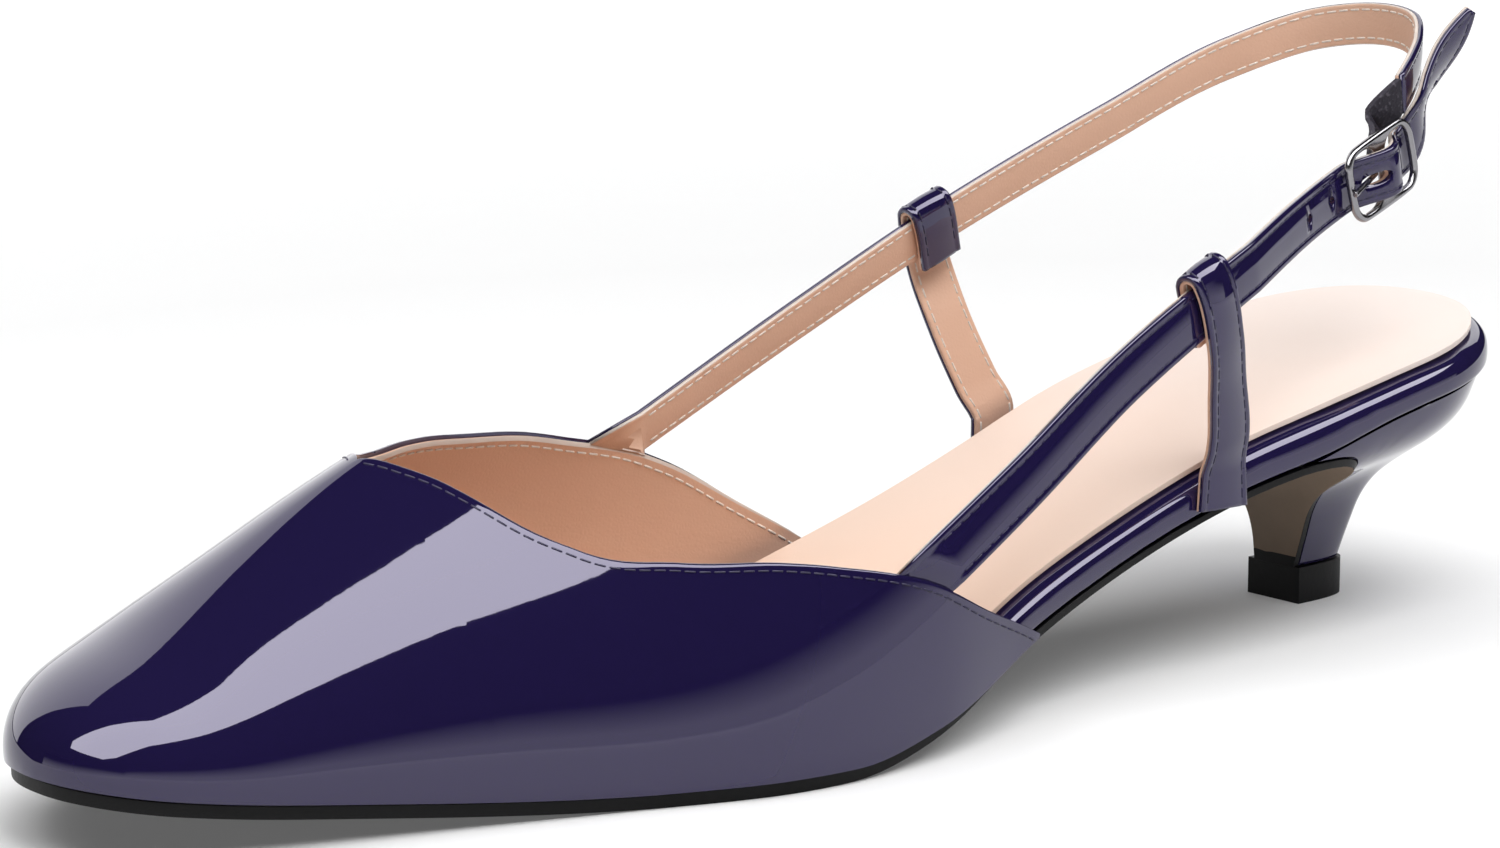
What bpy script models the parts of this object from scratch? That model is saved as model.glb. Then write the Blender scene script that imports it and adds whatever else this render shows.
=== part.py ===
"""Kitten heel slingback pump for the left foot.

All sizes are millimetres and are scaled to metres when a mesh is made. A station is a distance from
the back of the seat towards the toe. World axes: toe towards -Y, outer (lateral) side +X, up +Z.
The origin is the middle of the heel tip's bottom face.
"""

import math
from collections import namedtuple

import bmesh
import bpy
from mathutils import Vector

MM = 0.001
GAP = 0.3
LATERAL = 1
MEDIAL = -1

# Main form
LENGTH = 262.0
FOREPART_WIDTH = 74.0
SEAT_HEIGHT = 40.0
HEEL_TIP_STATION = 31.5

# Sole, board and pad
SOLE_THICKNESS = 1.8
SOLE_INSET = 2.2
BOARD_THICKNESS = 4.9
SOCK_THICKNESS = 0.9
SOCK_INSET = 5.1

# Upper
WALL = 1.6
INSTEP_HEIGHT = 50.0
SIDE_BULGE = 1.4
NOSE_LENGTH = 15.0
THROAT_STATION = 209.0
LATERAL_END_STATION = 120.0
MEDIAL_END_STATION = 115.0

# Heel
BREAST_STATION = 58.0
HEEL_TIP_WIDTH = 11.0
HEEL_TIP_DEPTH = 12.8
HEEL_TIP_HEIGHT = 5.8
STEM_INSET = 0.5
SEAT_INSET = 0.8
BREAST_THICKNESS = 1.2
TIP_SIDE_POWER = 0.6
TIP_BACK_POWER = 0.8
HEEL_FRONT_POWER = 1.6

# Faces along and across the lofted pieces
LONG_SECTIONS = 56
CROSS_SECTIONS = 8
VAMP_SECTIONS = 22
FLAP_SECTIONS = 20
VAMP_CROSS = 12
HEEL_RING = 10
STRAP_SECTIONS = 44
BREAST_SECTIONS = 14
HEEL_LEVELS = 16
END_MARGIN = 0.00005
FLAP_CROWDING = 1.5
EDGE_STEP = 0.01
SMOOTH_ANGLE = 40
HOLE_SIDES = 12
WIRE_SIDES = 8
CORNER_SECTIONS = 4
ELASTIC_SECTIONS = 10
TAB_SECTIONS = 12
LOOP_SECTIONS = 8

# Half widths of the upper's edge at the sole, as shares of the forepart's width
Outline = namedtuple("Outline", "along lateral medial")
OUTLINE = (
    Outline(0.00, 0.358, 0.391),
    Outline(0.12, 0.404, 0.386),
    Outline(0.22, 0.411, 0.362),
    Outline(0.34, 0.399, 0.309),
    Outline(0.45, 0.446, 0.297),
    Outline(0.55, 0.534, 0.376),
    Outline(0.65, 0.535, 0.465),
    Outline(0.73, 0.442, 0.489),
    Outline(0.80, 0.365, 0.462),
    Outline(0.87, 0.296, 0.400),
    Outline(0.93, 0.240, 0.352),
    Outline(1.00, 0.176, 0.174),
)
SEAT_ROUNDING = 0.115
SEAT_POWER = 2.2
TOE_ROUNDING = 0.05
TOE_POWER = 2.4

# Height of the sole's underside as a share of the seat's height, the sole's thickness, and how far
# inside the outline its edge lies as a share of its inset under the waist
Profile = namedtuple("Profile", "along underside thickness inset")
PROFILE = (
    Profile(0.00, 0.940, 0.56, 1.00),
    Profile(0.08, 0.873, 0.56, 1.00),
    Profile(0.16, 0.793, 0.56, 1.00),
    Profile(0.22, 0.694, 0.56, 1.00),
    Profile(0.26, 0.652, 0.56, 1.00),
    Profile(0.35, 0.495, 0.56, 1.00),
    Profile(0.45, 0.293, 0.66, 0.91),
    Profile(0.55, 0.070, 0.90, 0.55),
    Profile(0.61, 0.000, 1.00, 0.45),
    Profile(0.71, 0.000, 1.00, 0.45),
    Profile(0.75, 0.010, 1.00, 0.45),
    Profile(0.80, 0.035, 1.00, 0.45),
    Profile(0.86, 0.076, 1.00, 0.45),
    Profile(0.92, 0.122, 1.00, 0.45),
    Profile(1.00, 0.211, 1.00, 0.45),
)

# Board: thickness as a share of its thickness at the seat, and how far inside the outline it lies
# as a share of the upper's wall and its clearance
Board = namedtuple("Board", "along thickness inset")
BOARD = (
    Board(0.00, 1.31, 1.32),
    Board(0.08, 1.12, 1.21),
    Board(0.16, 1.04, 1.11),
    Board(0.22, 1.24, 1.02),
    Board(0.26, 1.15, 1.00),
    Board(0.35, 1.02, 1.00),
    Board(0.48, 0.98, 1.00),
    Board(0.58, 0.75, 1.00),
    Board(1.00, 0.70, 1.00),
)

# Rolled edge of the board: how far in and how high, as shares of its thickness
Roll = namedtuple("Roll", "inward up")
ROLL = (
    Roll(0.09, 0.00),
    Roll(0.01, 0.10),
    Roll(0.00, 0.42),
    Roll(0.05, 0.68),
    Roll(0.20, 0.88),
    Roll(0.46, 1.00),
)

# Square edge of the sole and the pad, in the same terms
SQUARE_EDGE = (Roll(0.0, 0.0), Roll(0.0, 1.0))

# Crown line of the upper over the sole: height as a share of the instep's height, the pull of
# the lateral wall, of the medial wall and of the top on the section's curve
Crown = namedtuple("Crown", "along height lateral medial top")
CROWN = (
    Crown(0.45, 1.20, 0.60, 0.78, 0.45),
    Crown(0.60, 1.064, 0.60, 0.78, 0.45),
    Crown(0.70, 1.007, 0.56, 0.68, 0.35),
    Crown(0.80, 0.797, 0.52, 0.58, 0.26),
    Crown(0.88, 0.538, 0.56, 0.60, 0.38),
    Crown(0.94, 0.332, 0.61, 0.63, 0.49),
    Crown(1.00, 0.20, 0.66, 0.66, 0.60),
)
NOSE_POWER = 2.4

# Top edge of the upper: how far round the section it lies, from the throat to the flap's end
Topline = namedtuple("Topline", "along lateral medial")
TOPLINE = (
    Topline(0.00, 1.00, 1.00),
    Topline(0.03, 0.83, 0.83),
    Topline(0.07, 0.69, 0.71),
    Topline(0.13, 0.53, 0.62),
    Topline(0.20, 0.44, 0.57),
    Topline(0.33, 0.382, 0.480),
    Topline(0.47, 0.348, 0.414),
    Topline(0.60, 0.298, 0.340),
    Topline(0.73, 0.215, 0.235),
    Topline(0.86, 0.107, 0.115),
    Topline(1.00, 0.006, 0.010),
)

# Heel rings from the tip up to the seat: how far each side has flared from the stem to the seat
Flare = namedtuple("Flare", "up back lateral medial front")
FLARE = (
    Flare(0.00, 0.00, 0.00, -0.09, 0.00),
    Flare(0.20, 0.00, 0.11, -0.10, 0.05),
    Flare(0.40, 0.03, 0.24, -0.03, 0.12),
    Flare(0.50, 0.16, 0.35, 0.08, 0.17),
    Flare(0.60, 0.58, 0.52, 0.31, 0.25),
    Flare(0.70, 0.90, 0.73, 0.58, 0.33),
    Flare(0.80, 1.00, 0.88, 0.78, 0.43),
    Flare(0.88, 1.01, 0.95, 0.90, 0.54),
    Flare(0.94, 1.00, 0.98, 0.96, 0.70),
    Flare(1.00, 1.00, 1.00, 1.00, 1.00),
)

# Straps
STRAP_THICKNESS = 1.4
BUCKLE_STRAP_WIDTH = 6.6
HEEL_STRAP_WIDTH = 6.6
ELASTIC_THICKNESS = 1.0
ELASTIC_WIDTH = 6.0
SLING_HEIGHT = 86.0
POINT_LENGTH = 10.0
POINT_WIDTH = 1.6
POINT_POWER = 1.6
HOLE_DIAMETER = 1.4
HOLE_SPACING = 7.6
HOLES_SHOWN = 2
FIRST_HOLE = 3.7
CUTTER_REACH = 2.5
ROOT_LEAN = 16
ROOT_CLEAR = 5.0
ROOT_GAP = 0.48

# Stations between which each strap comes out of the upper's rim
Root = namedtuple("Root", "upper lower")
BUCKLE_ROOT = Root(149.5, 140.0)
HEEL_ROOT = Root(154.5, 144.5)

# Middle lines of the straps: across as a share of the forepart's width, along as a share of the
# length, up as a share of the sling's height, lean of the strap's face in degrees
Route = namedtuple("Route", "across along up lean")
BUCKLE_ROUTE = (
    Route(0.488, 0.480, 0.415, 12),
    Route(0.453, 0.400, 0.550, 9),
    Route(0.426, 0.325, 0.645, 6),
    Route(0.342, 0.240, 0.733, 4),
    Route(0.291, 0.180, 0.776, 3),
    Route(0.264, 0.141, 0.811, 3),
    Route(0.237, 0.102, 0.846, -1),
    Route(0.239, 0.088, 0.950, -18),
    Route(0.272, 0.070, 1.079, -13),
)
BUCKLE_LOOP_ROW = 2
BUCKLE_ROW = 5
HEEL_ROUTE = (
    Route(-0.378, 0.427, 0.571, 12),
    Route(-0.392, 0.325, 0.694, 9),
    Route(-0.365, 0.192, 0.850, 6),
    Route(-0.317, 0.100, 0.958, 4),
    Route(-0.203, 0.057, 1.012, 3),
    Route(-0.060, 0.046, 1.028, 2),
    Route(0.060, 0.054, 1.021, 2),
    Route(0.150, 0.077, 0.990, 2),
    Route(0.198, 0.098, 0.962, 2),
    Route(0.232, 0.117, 0.936, 2),
)
HEEL_LOOP_ROW = 1

# Elastic piece from the heel strap's end to the buckle's centre bar: share of the way left to the
# bar, and depth under the buckle as a share of its depth under the frame's wire
ELASTIC_DEPTH = 3.4
Under = namedtuple("Under", "along left depth")
UNDER = (
    Under(0.36, 0.60, 1.00),
    Under(0.69, 0.31, 0.73),
    Under(1.00, 0.05, 0.47),
)

# Buckle
WIRE = 1.4
BAR = 1.2
PRONG = 1.0
FRAME_LENGTH = 19.0
FRAME_SIDE_ROOM = 1.4
FRAME_CORNER = 3.0
WEAVE_GAP = 0.56
PRONG_SINK = 0.2
PRONG_HOLE_BACK = 3.2
PRONG_HOLE_LENGTH = 4.6
PRONG_HOLE_WIDTH = 1.9

# Loop tabs: stations on the board's edge, widths there and at the strap, and how far back the strip
# sways on its way up as a share of its width at the foot
TAB_THICKNESS = 1.2
TAB_FOOT_WIDTH = 9.2
TAB_LOOP_WIDTH = 8.0
TAB_END_OVERLAP = 1.5
TAB_TAPER = 1.3
LOOP_DROP = 2.0
LOOP_SLACK = 0.9
LATERAL_TAB_STATION = 79.2
MEDIAL_TAB_STATION = 77.0
Sway = namedtuple("Sway", "up lateral medial")
SWAY = (
    Sway(0.00, 0.0, 0.0),
    Sway(0.22, 0.08, -0.06),
    Sway(0.62, 0.00, -0.10),
    Sway(1.00, -0.10, 0.0),
)

# How the strap weaves through the buckle: place along as a share of half the frame, and how far
# out it stands as a share of its full bend
Weave = namedtuple("Weave", "along out")
WEAVE = (
    Weave(-4.5, 0.00),
    Weave(-2.6, -0.75),
    Weave(-1.1, -1.00),
    Weave(-0.9, -1.00),
    Weave(0.0, 1.00),
    Weave(0.9, -1.00),
    Weave(1.1, -1.00),
    Weave(2.6, -0.55),
    Weave(4.0, 0.00),
)


def smooth(places, values, at):
    """Cubic pieces through the given values, level beside a stretch that does not change."""
    last = len(places) - 1
    at = min(max(at, places[0]), places[last])
    slopes = [(values[i + 1] - values[i]) / (places[i + 1] - places[i]) for i in range(last)]
    tangents = [slopes[0]]
    for i in range(1, last):
        before = places[i] - places[i - 1]
        after = places[i + 1] - places[i]
        if slopes[i - 1] == 0.0 or slopes[i] == 0.0:
            tangents.append(0.0)
        else:
            tangents.append((slopes[i - 1] * after + slopes[i] * before) / (before + after))
    tangents.append(slopes[-1])
    i = 0
    while i < last - 1 and at > places[i + 1]:
        i += 1
    step = places[i + 1] - places[i]
    u = (at - places[i]) / step
    return (
        (2 * u**3 - 3 * u**2 + 1) * values[i]
        + (u**3 - 2 * u**2 + u) * step * tangents[i]
        + (3 * u**2 - 2 * u**3) * values[i + 1]
        + (u**3 - u**2) * step * tangents[i + 1]
    )


def read(table, column, along):
    """Value of a table's column at a share of the table's first column."""
    places = [row[0] for row in table]
    values = [getattr(row, column) for row in table]
    return smooth(places, values, along)


def end_spacing(count):
    """Shares from 0 to 1 that crowd at both ends."""
    return [(1 - math.cos(math.pi * i / count)) / 2 for i in range(count + 1)]


def rounding(along):
    """Narrowing of the outline at the seat's back and at the toe."""
    back = min(max(1 - along / SEAT_ROUNDING, 0.0), 1.0)
    front = min(max(1 - (1 - along) / TOE_ROUNDING, 0.0), 1.0)
    return (1 - back**SEAT_POWER) ** (1 / SEAT_POWER) * (1 - front**TOE_POWER) ** (1 / TOE_POWER)


def centre_line(along):
    """Middle of the outline across the shoe."""
    difference = read(OUTLINE, "lateral", along) - read(OUTLINE, "medial", along)
    return FOREPART_WIDTH * difference / 2


def outline(along, side):
    """Plan point (across, station) of the upper's edge at the sole."""
    total = read(OUTLINE, "lateral", along) + read(OUTLINE, "medial", along)
    half = FOREPART_WIDTH * total / 2 * rounding(along)
    return Vector((centre_line(along) + side * half, along * LENGTH))


def inset_outline(along, side, inset):
    """Plan point of the outline moved inwards along its own normal."""
    step = 0.0004
    before = outline(max(along - step, 0.0), side)
    after = outline(min(along + step, 1.0), side)
    run = (after - before).normalized()
    inward = Vector((-run.y, run.x)) * side
    return outline(along, side) + inward * inset


def sole_underside(station):
    return SEAT_HEIGHT * read(PROFILE, "underside", station / LENGTH)


def sole_top(station):
    return sole_underside(station) + SOLE_THICKNESS * read(PROFILE, "thickness", station / LENGTH)


def board_underside(station):
    return sole_top(station) + GAP


def board_top(station):
    return board_underside(station) + BOARD_THICKNESS * read(BOARD, "thickness", station / LENGTH)


def board_inset(along):
    return (WALL + GAP) * read(BOARD, "inset", along)


def place(across, station, up):
    """World point in metres."""
    return Vector((across, HEEL_TIP_STATION - station, up)) * MM


def material(name, colour, roughness, metallic=0.0):
    made = bpy.data.materials.new(name)
    made.use_nodes = True
    shader = made.node_tree.nodes["Principled BSDF"]
    shader.inputs["Base Color"].default_value = (*colour, 1.0)
    shader.inputs["Roughness"].default_value = roughness
    shader.inputs["Metallic"].default_value = metallic
    made.diffuse_color = (*colour, 1.0)
    return made


def add_object(name, mesh_builder, finish):
    """Object from a bmesh, with faces out and smooth sides."""
    bmesh.ops.recalc_face_normals(mesh_builder, faces=mesh_builder.faces)
    mesh = bpy.data.meshes.new(name)
    mesh_builder.to_mesh(mesh)
    mesh_builder.free()
    mesh.shade_smooth()
    mesh.set_sharp_from_angle(angle=math.radians(SMOOTH_ANGLE))
    mesh.materials.append(finish)
    made = bpy.data.objects.new(name, mesh)
    bpy.context.scene.collection.objects.link(made)
    return made


def loft(name, rings, finish):
    """Closed solid through rings of points that match one to one."""
    builder = bmesh.new()
    rows = [[builder.verts.new(point) for point in ring] for ring in rings]
    count = len(rows[0])
    for row, following in zip(rows, rows[1:]):
        for i in range(count):
            j = (i + 1) % count
            builder.faces.new((row[i], row[j], following[j], following[i]))
    builder.faces.new(rows[0])
    builder.faces.new(rows[-1])
    return add_object(name, builder, finish)


def plate_rings(stations, inset_of, lower_of, upper_of, edge_profile):
    """Rings of a plate that follows the shoe's outline.

    The edge profile lists (inward, up) from the plate's lower face to its upper face, inward in
    millimetres at a given station and up as a share of the plate's thickness there.
    """
    rings = []
    for along in stations:
        ring = []
        for side in (LATERAL, MEDIAL):
            edge_points = []
            for inward, up in edge_profile(along):
                point = inset_outline(along, side, inset_of(along) + inward)
                low = lower_of(point.y)
                edge_points.append(place(point.x, point.y, low + up * (upper_of(point.y) - low)))
            ring.append(edge_points)
        lateral, medial = ring
        crossing = [i / CROSS_SECTIONS for i in range(1, CROSS_SECTIONS)]
        top = [across_plate(lateral[-1], medial[-1], share, upper_of) for share in crossing]
        bottom = [across_plate(medial[0], lateral[0], share, lower_of) for share in crossing]
        rings.append(lateral + top + medial[::-1] + bottom)
    return rings


def across_plate(start, end, share, height_of):
    """Point between two edge points, at the plate's own height."""
    point = start.lerp(end, share)
    station = HEEL_TIP_STATION - point.y / MM
    return Vector((point.x, point.y, height_of(station) * MM))


def rolled_edge(along):
    thickness = BOARD_THICKNESS * read(BOARD, "thickness", along)
    return [(roll.inward * thickness, roll.up) for roll in ROLL]


def inner_stations(count):
    """Crowded shares of the length that leave room at both ends for an inset plate."""
    return [END_MARGIN + (1 - 2 * END_MARGIN) * share for share in end_spacing(count)]


def heel_level(up):
    """Front corners of a heel ring in the plan and their heights: lateral, then medial."""
    plan = heel_ring_plan(up)
    corners = []
    for x, station in (plan[0], plan[-1]):
        corners.append(Vector((x, station, heel_height(station, up))))
    return corners


def heel_height(station, up):
    low = HEEL_TIP_HEIGHT + GAP
    high = board_underside(station) - GAP
    return low + up * (high - low)


def breast_rings():
    """Rings of the sole's flap, from the heel tip up along the heel's front to the shank."""
    rings = []
    for i in range(BREAST_SECTIONS):
        up = i / BREAST_SECTIONS
        step = 0.01
        corners = heel_level(up)
        above = heel_level(up + step)
        lateral, medial = [], []
        for corner, upper, edge in zip(corners, above, (lateral, medial)):
            rise = upper - corner
            outward = Vector((0.0, rise.z, -rise.y)).normalized()
            for depth in (GAP + BREAST_THICKNESS, GAP):
                moved = corner + outward * depth
                edge.append(place(*moved))
        shares = [i / CROSS_SECTIONS for i in range(1, CROSS_SECTIONS)]
        top = [lateral[1].lerp(medial[1], share) for share in shares]
        bottom = [medial[0].lerp(lateral[0], share) for share in shares]
        rings.append(lateral + top + medial[::-1] + bottom)
    return rings


def make_outsole(finish):
    first = (BREAST_STATION + BREAST_THICKNESS) / LENGTH
    turns = [math.pi / 2 * i / LONG_SECTIONS for i in range(LONG_SECTIONS + 1)]
    stations = [first + (1 - END_MARGIN - first) * math.sin(turn) for turn in turns]
    rings = plate_rings(
        stations,
        lambda along: SOLE_INSET * read(PROFILE, "inset", along),
        sole_underside,
        sole_top,
        lambda along: SQUARE_EDGE,
    )
    return loft("outsole", breast_rings() + rings, finish)


def make_board(finish):
    rings = plate_rings(
        inner_stations(LONG_SECTIONS),
        board_inset,
        board_underside,
        board_top,
        rolled_edge,
    )
    return loft("insole_board", rings, finish)


def make_sock(finish):
    rings = plate_rings(
        inner_stations(LONG_SECTIONS),
        lambda along: SOCK_INSET,
        lambda station: board_top(station) + GAP,
        lambda station: board_top(station) + GAP + SOCK_THICKNESS,
        lambda along: SQUARE_EDGE,
    )
    return loft("sock_lining", rings, finish)


def nose(along):
    """Drop of the crown line over the toe."""
    ahead = min(max(1 - (1 - along) * LENGTH / NOSE_LENGTH, 0.0), 1.0)
    return (1 - ahead**NOSE_POWER) ** (1 / NOSE_POWER)


def vamp_point(along, side, turn):
    """Outer face of the upper: turn runs from 0 at the sole to 1 at the crown line."""
    station = along * LENGTH
    base = board_underside(station)
    width = outline(along, side).x
    middle = centre_line(along)
    height = INSTEP_HEIGHT * read(CROWN, "height", along) * nose(along)
    wall_pull = read(CROWN, "lateral" if side == LATERAL else "medial", along)
    bulge = side * SIDE_BULGE * rounding(along)
    foot = Vector((width, base))
    crown = Vector((middle, base + height))
    side_pull = foot + Vector((bulge, wall_pull * height))
    top_pull = crown + Vector(((width - middle) * read(CROWN, "top", along), 0.0))
    rest = 1 - turn
    point = (
        foot * rest**3
        + side_pull * 3 * rest**2 * turn
        + top_pull * 3 * rest * turn**2
        + crown * turn**3
    )
    return place(point.x, station, point.y)


def topline_turn(station, side):
    """How far round its section the upper's top edge lies at a station."""
    end = LATERAL_END_STATION if side == LATERAL else MEDIAL_END_STATION
    share = (THROAT_STATION - station) / (THROAT_STATION - end)
    if share <= 0:
        return 1.0
    return read(TOPLINE, "lateral" if side == LATERAL else "medial", share)


def make_vamp(finish):
    builder = bmesh.new()
    front = THROAT_STATION / LENGTH
    front_shares = [math.sin(math.pi / 2 * i / VAMP_SECTIONS) for i in range(VAMP_SECTIONS)]
    front_rows = []
    for share in front_shares:
        along = front + (1 - front) * share
        lateral = [vamp_point(along, LATERAL, i / VAMP_CROSS) for i in range(VAMP_CROSS)]
        medial = [vamp_point(along, MEDIAL, i / VAMP_CROSS) for i in range(VAMP_CROSS)]
        points = lateral + [vamp_point(along, LATERAL, 1.0)] + medial[::-1]
        front_rows.append([builder.verts.new(point) for point in points])
    for row, following in zip(front_rows, front_rows[1:]):
        join_rows(builder, row, following)
    pole = builder.verts.new(vamp_point(1.0, LATERAL, 0.0))
    for a, b in zip(front_rows[-1], front_rows[-1][1:]):
        builder.faces.new((a, b, pole))
    first = front_rows[0]
    halves = {LATERAL: first[: VAMP_CROSS + 1], MEDIAL: first[VAMP_CROSS:][::-1]}
    for side, end in ((LATERAL, LATERAL_END_STATION), (MEDIAL, MEDIAL_END_STATION)):
        previous = halves[side]
        for step in range(1, FLAP_SECTIONS + 1):
            share = (step / FLAP_SECTIONS) ** FLAP_CROWDING
            station = THROAT_STATION + (end - THROAT_STATION) * share
            top = topline_turn(station, side)
            row = []
            for i in range(VAMP_CROSS + 1):
                point = vamp_point(station / LENGTH, side, top * i / VAMP_CROSS)
                row.append(builder.verts.new(point))
            join_rows(builder, previous, row)
            previous = row
    made = add_object("vamp", builder, finish)
    wall = made.modifiers.new("wall", "SOLIDIFY")
    wall.thickness = WALL * MM
    wall.offset = -1.0
    wall.use_quality_normals = True
    return made


def join_rows(builder, row, following):
    for i in range(len(row) - 1):
        builder.faces.new((row[i], row[i + 1], following[i + 1], following[i]))


def tip_plan(inset):
    """Plan of the heel tip: square front, rounded back, from the lateral front corner round."""
    points = []
    front = HEEL_TIP_STATION + HEEL_TIP_DEPTH / 2 - inset
    back = HEEL_TIP_STATION - HEEL_TIP_DEPTH / 2 + inset
    for i in range(2 * HEEL_RING + 1):
        turn = math.pi * i / (2 * HEEL_RING)
        across = math.copysign(abs(math.cos(turn)) ** TIP_SIDE_POWER, math.cos(turn))
        station = front + (back - front) * math.sin(turn) ** TIP_BACK_POWER
        points.append(((HEEL_TIP_WIDTH / 2 - inset) * across, station))
    return points


def heel_ring_plan(up):
    """Plan points of one heel ring, from the lateral front corner round the back to the medial one."""
    points = []
    back, front = read(FLARE, "back", up), read(FLARE, "front", up)
    sides = {LATERAL: read(FLARE, "lateral", up), MEDIAL: read(FLARE, "medial", up)}
    for i, (tip_x, tip_y) in enumerate(tip_plan(STEM_INSET)):
        turn = math.pi * i / (2 * HEEL_RING)
        side = LATERAL if turn <= math.pi / 2 else MEDIAL
        forward = abs(math.cos(turn)) ** HEEL_FRONT_POWER
        seat_along = max(BREAST_STATION * forward / LENGTH, END_MARGIN)
        seat = inset_outline(seat_along, side, board_inset(seat_along) + SEAT_INSET)
        if i == HEEL_RING:
            seat.x = centre_line(seat_along)
        x = tip_x + (seat.x - tip_x) * sides[side]
        y = tip_y + (seat.y - tip_y) * (front * forward + back * (1 - forward))
        points.append((x, y))
    return points


def make_heel(finish):
    rings = []
    for i in range(HEEL_LEVELS + 1):
        up = i / HEEL_LEVELS
        rings.append([place(x, station, heel_height(station, up)) for x, station in heel_ring_plan(up)])
    return loft("heel", rings, finish)


def make_heel_tip(finish):
    rings = [[place(x, station, z) for x, station in tip_plan(0.0)] for z in (0.0, HEEL_TIP_HEIGHT)]
    return loft("heel_tip", rings, finish)


def rim_point(station, side):
    """Middle of the wall at the upper's top edge, and the wall's outward direction there."""
    turn = topline_turn(station, side)
    along = station / LENGTH
    point = vamp_point(along, side, turn)
    round_section = vamp_point(along, side, turn + 0.01) - point
    forward = vamp_point(along + 0.002, side, turn) - point
    outward = round_section.cross(forward) * side
    outward.normalize()
    return point - outward * (WALL / 2 * MM), outward


class Strap:
    """Middle line of a strap, starting at the upper's rim and running through a table of rows."""

    def __init__(self, rows, root, side):
        self.side = side
        self.root_upper, self.root_upper_out = rim_point(root.upper, side)
        self.root_lower, self.root_lower_out = rim_point(root.lower, side)
        first = (self.root_upper + self.root_lower) / 2
        self.points = [first]
        for row in rows:
            x = row.across * FOREPART_WIDTH
            self.points.append(place(x, row.along * LENGTH, row.up * SLING_HEIGHT))
        self.leans = [ROOT_LEAN] + [row.lean for row in rows]
        self.distances = [0.0]
        for before, after in zip(self.points, self.points[1:]):
            self.distances.append(self.distances[-1] + (after - before).length)
        self.length = self.distances[-1]

    def at_row(self, row):
        """Distance along the strap of a table row."""
        return self.distances[row + 1]

    def point(self, distance):
        return smooth_path(self.distances, self.points, distance)

    def frame(self, distance):
        """Point, direction along the strap, direction up across it, and direction out of its face."""
        step = 0.4 * MM
        along = (self.point(distance + step) - self.point(distance - step)).normalized()
        lean = math.radians(smooth(self.distances, self.leans, distance))
        upright = Vector((-math.sin(lean) * self.side, 0.0, math.cos(lean)))
        across = (upright - along * upright.dot(along)).normalized()
        return self.point(distance), along, across, along.cross(across) * self.side


def ribbon_ring(centre, across, outward, width, thickness):
    """Four corners of a strap's section."""
    half_width = across * (width / 2 * MM)
    half_thickness = outward * (thickness / 2 * MM)
    return [
        centre + half_width + half_thickness,
        centre + half_width - half_thickness,
        centre - half_width - half_thickness,
        centre - half_width + half_thickness,
    ]


def root_ring(strap, thickness):
    """The strap's end, cut along the upper's rim and just clear of it."""
    _, along, _, _ = strap.frame(ROOT_CLEAR * MM)
    clear = along * (ROOT_GAP * MM)
    half = thickness / 2 * MM
    upper, lower = strap.root_upper + clear, strap.root_lower + clear
    return [
        upper + strap.root_upper_out * half,
        upper - strap.root_upper_out * half,
        lower - strap.root_lower_out * half,
        lower + strap.root_lower_out * half,
    ]


def strap_rings(strap, width, stop, stand_out=lambda distance: 0.0, narrow=lambda distance: 1.0):
    """Sections of a strap from its root to a distance along it."""
    rings = [root_ring(strap, STRAP_THICKNESS)]
    first = ROOT_CLEAR * MM
    distances = [first + (stop - first) * i / STRAP_SECTIONS for i in range(STRAP_SECTIONS + 1)]

    def middle(distance):
        point, _, _, outward = strap.frame(distance)
        return point + outward * (stand_out(distance) * MM)

    for distance in distances:
        step = 0.3 * MM
        along = (middle(distance + step) - middle(distance - step)).normalized()
        _, _, across, _ = strap.frame(distance)
        outward = along.cross(across).normalized() * strap.side
        centre = middle(distance)
        rings.append(ribbon_ring(centre, across, outward, width * narrow(distance), STRAP_THICKNESS))
    return rings


def weave(strap):
    """How far the buckle strap stands out of its middle line on its way through the buckle."""
    centre = strap.at_row(BUCKLE_ROW)
    bend = WIRE / 2 + STRAP_THICKNESS / 2 + WEAVE_GAP
    half = (FRAME_LENGTH - WIRE) / 2 * MM
    return lambda distance: bend * read(WEAVE, "out", (distance - centre) / half)


def make_buckle_strap(strap, finish):
    point_start = strap.length - POINT_LENGTH * MM

    def narrow(distance):
        share = min(max((distance - point_start) / (POINT_LENGTH * MM), 0.0), 1.0)
        return 1 - (1 - POINT_WIDTH / BUCKLE_STRAP_WIDTH) * share**POINT_POWER

    rings = strap_rings(strap, BUCKLE_STRAP_WIDTH, strap.length, weave(strap), narrow)
    made = loft("buckle_strap", rings, finish)
    centre = strap.at_row(BUCKLE_ROW)
    half = (FRAME_LENGTH - WIRE) / 2 * MM
    for i in range(HOLES_SHOWN):
        distance = centre - half - (FIRST_HOLE + i * HOLE_SPACING) * MM
        punch(made, strap, distance, HOLE_DIAMETER, HOLE_DIAMETER)
    return made


def punch(made, strap, distance, width, length):
    """Hole straight through a strap, as an oval prism across its face."""
    point, along, across, outward = strap.frame(distance)
    builder = bmesh.new()
    ends = []
    for depth in (-CUTTER_REACH, CUTTER_REACH):
        ring = []
        for i in range(HOLE_SIDES):
            turn = 2 * math.pi * i / HOLE_SIDES
            offset = along * (math.cos(turn) * length / 2) + across * (math.sin(turn) * width / 2)
            ring.append(builder.verts.new(point + (offset + outward * depth) * MM))
        ends.append(ring)
    for i in range(HOLE_SIDES):
        j = (i + 1) % HOLE_SIDES
        builder.faces.new((ends[0][i], ends[0][j], ends[1][j], ends[1][i]))
    builder.faces.new(ends[0])
    builder.faces.new(ends[1])
    cutter = add_object("cutter", builder, made.data.materials[0])
    cutter.hide_render = True
    cutter.display_type = "WIRE"
    cut = made.modifiers.new("hole", "BOOLEAN")
    cut.operation = "DIFFERENCE"
    cut.object = cutter


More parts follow.
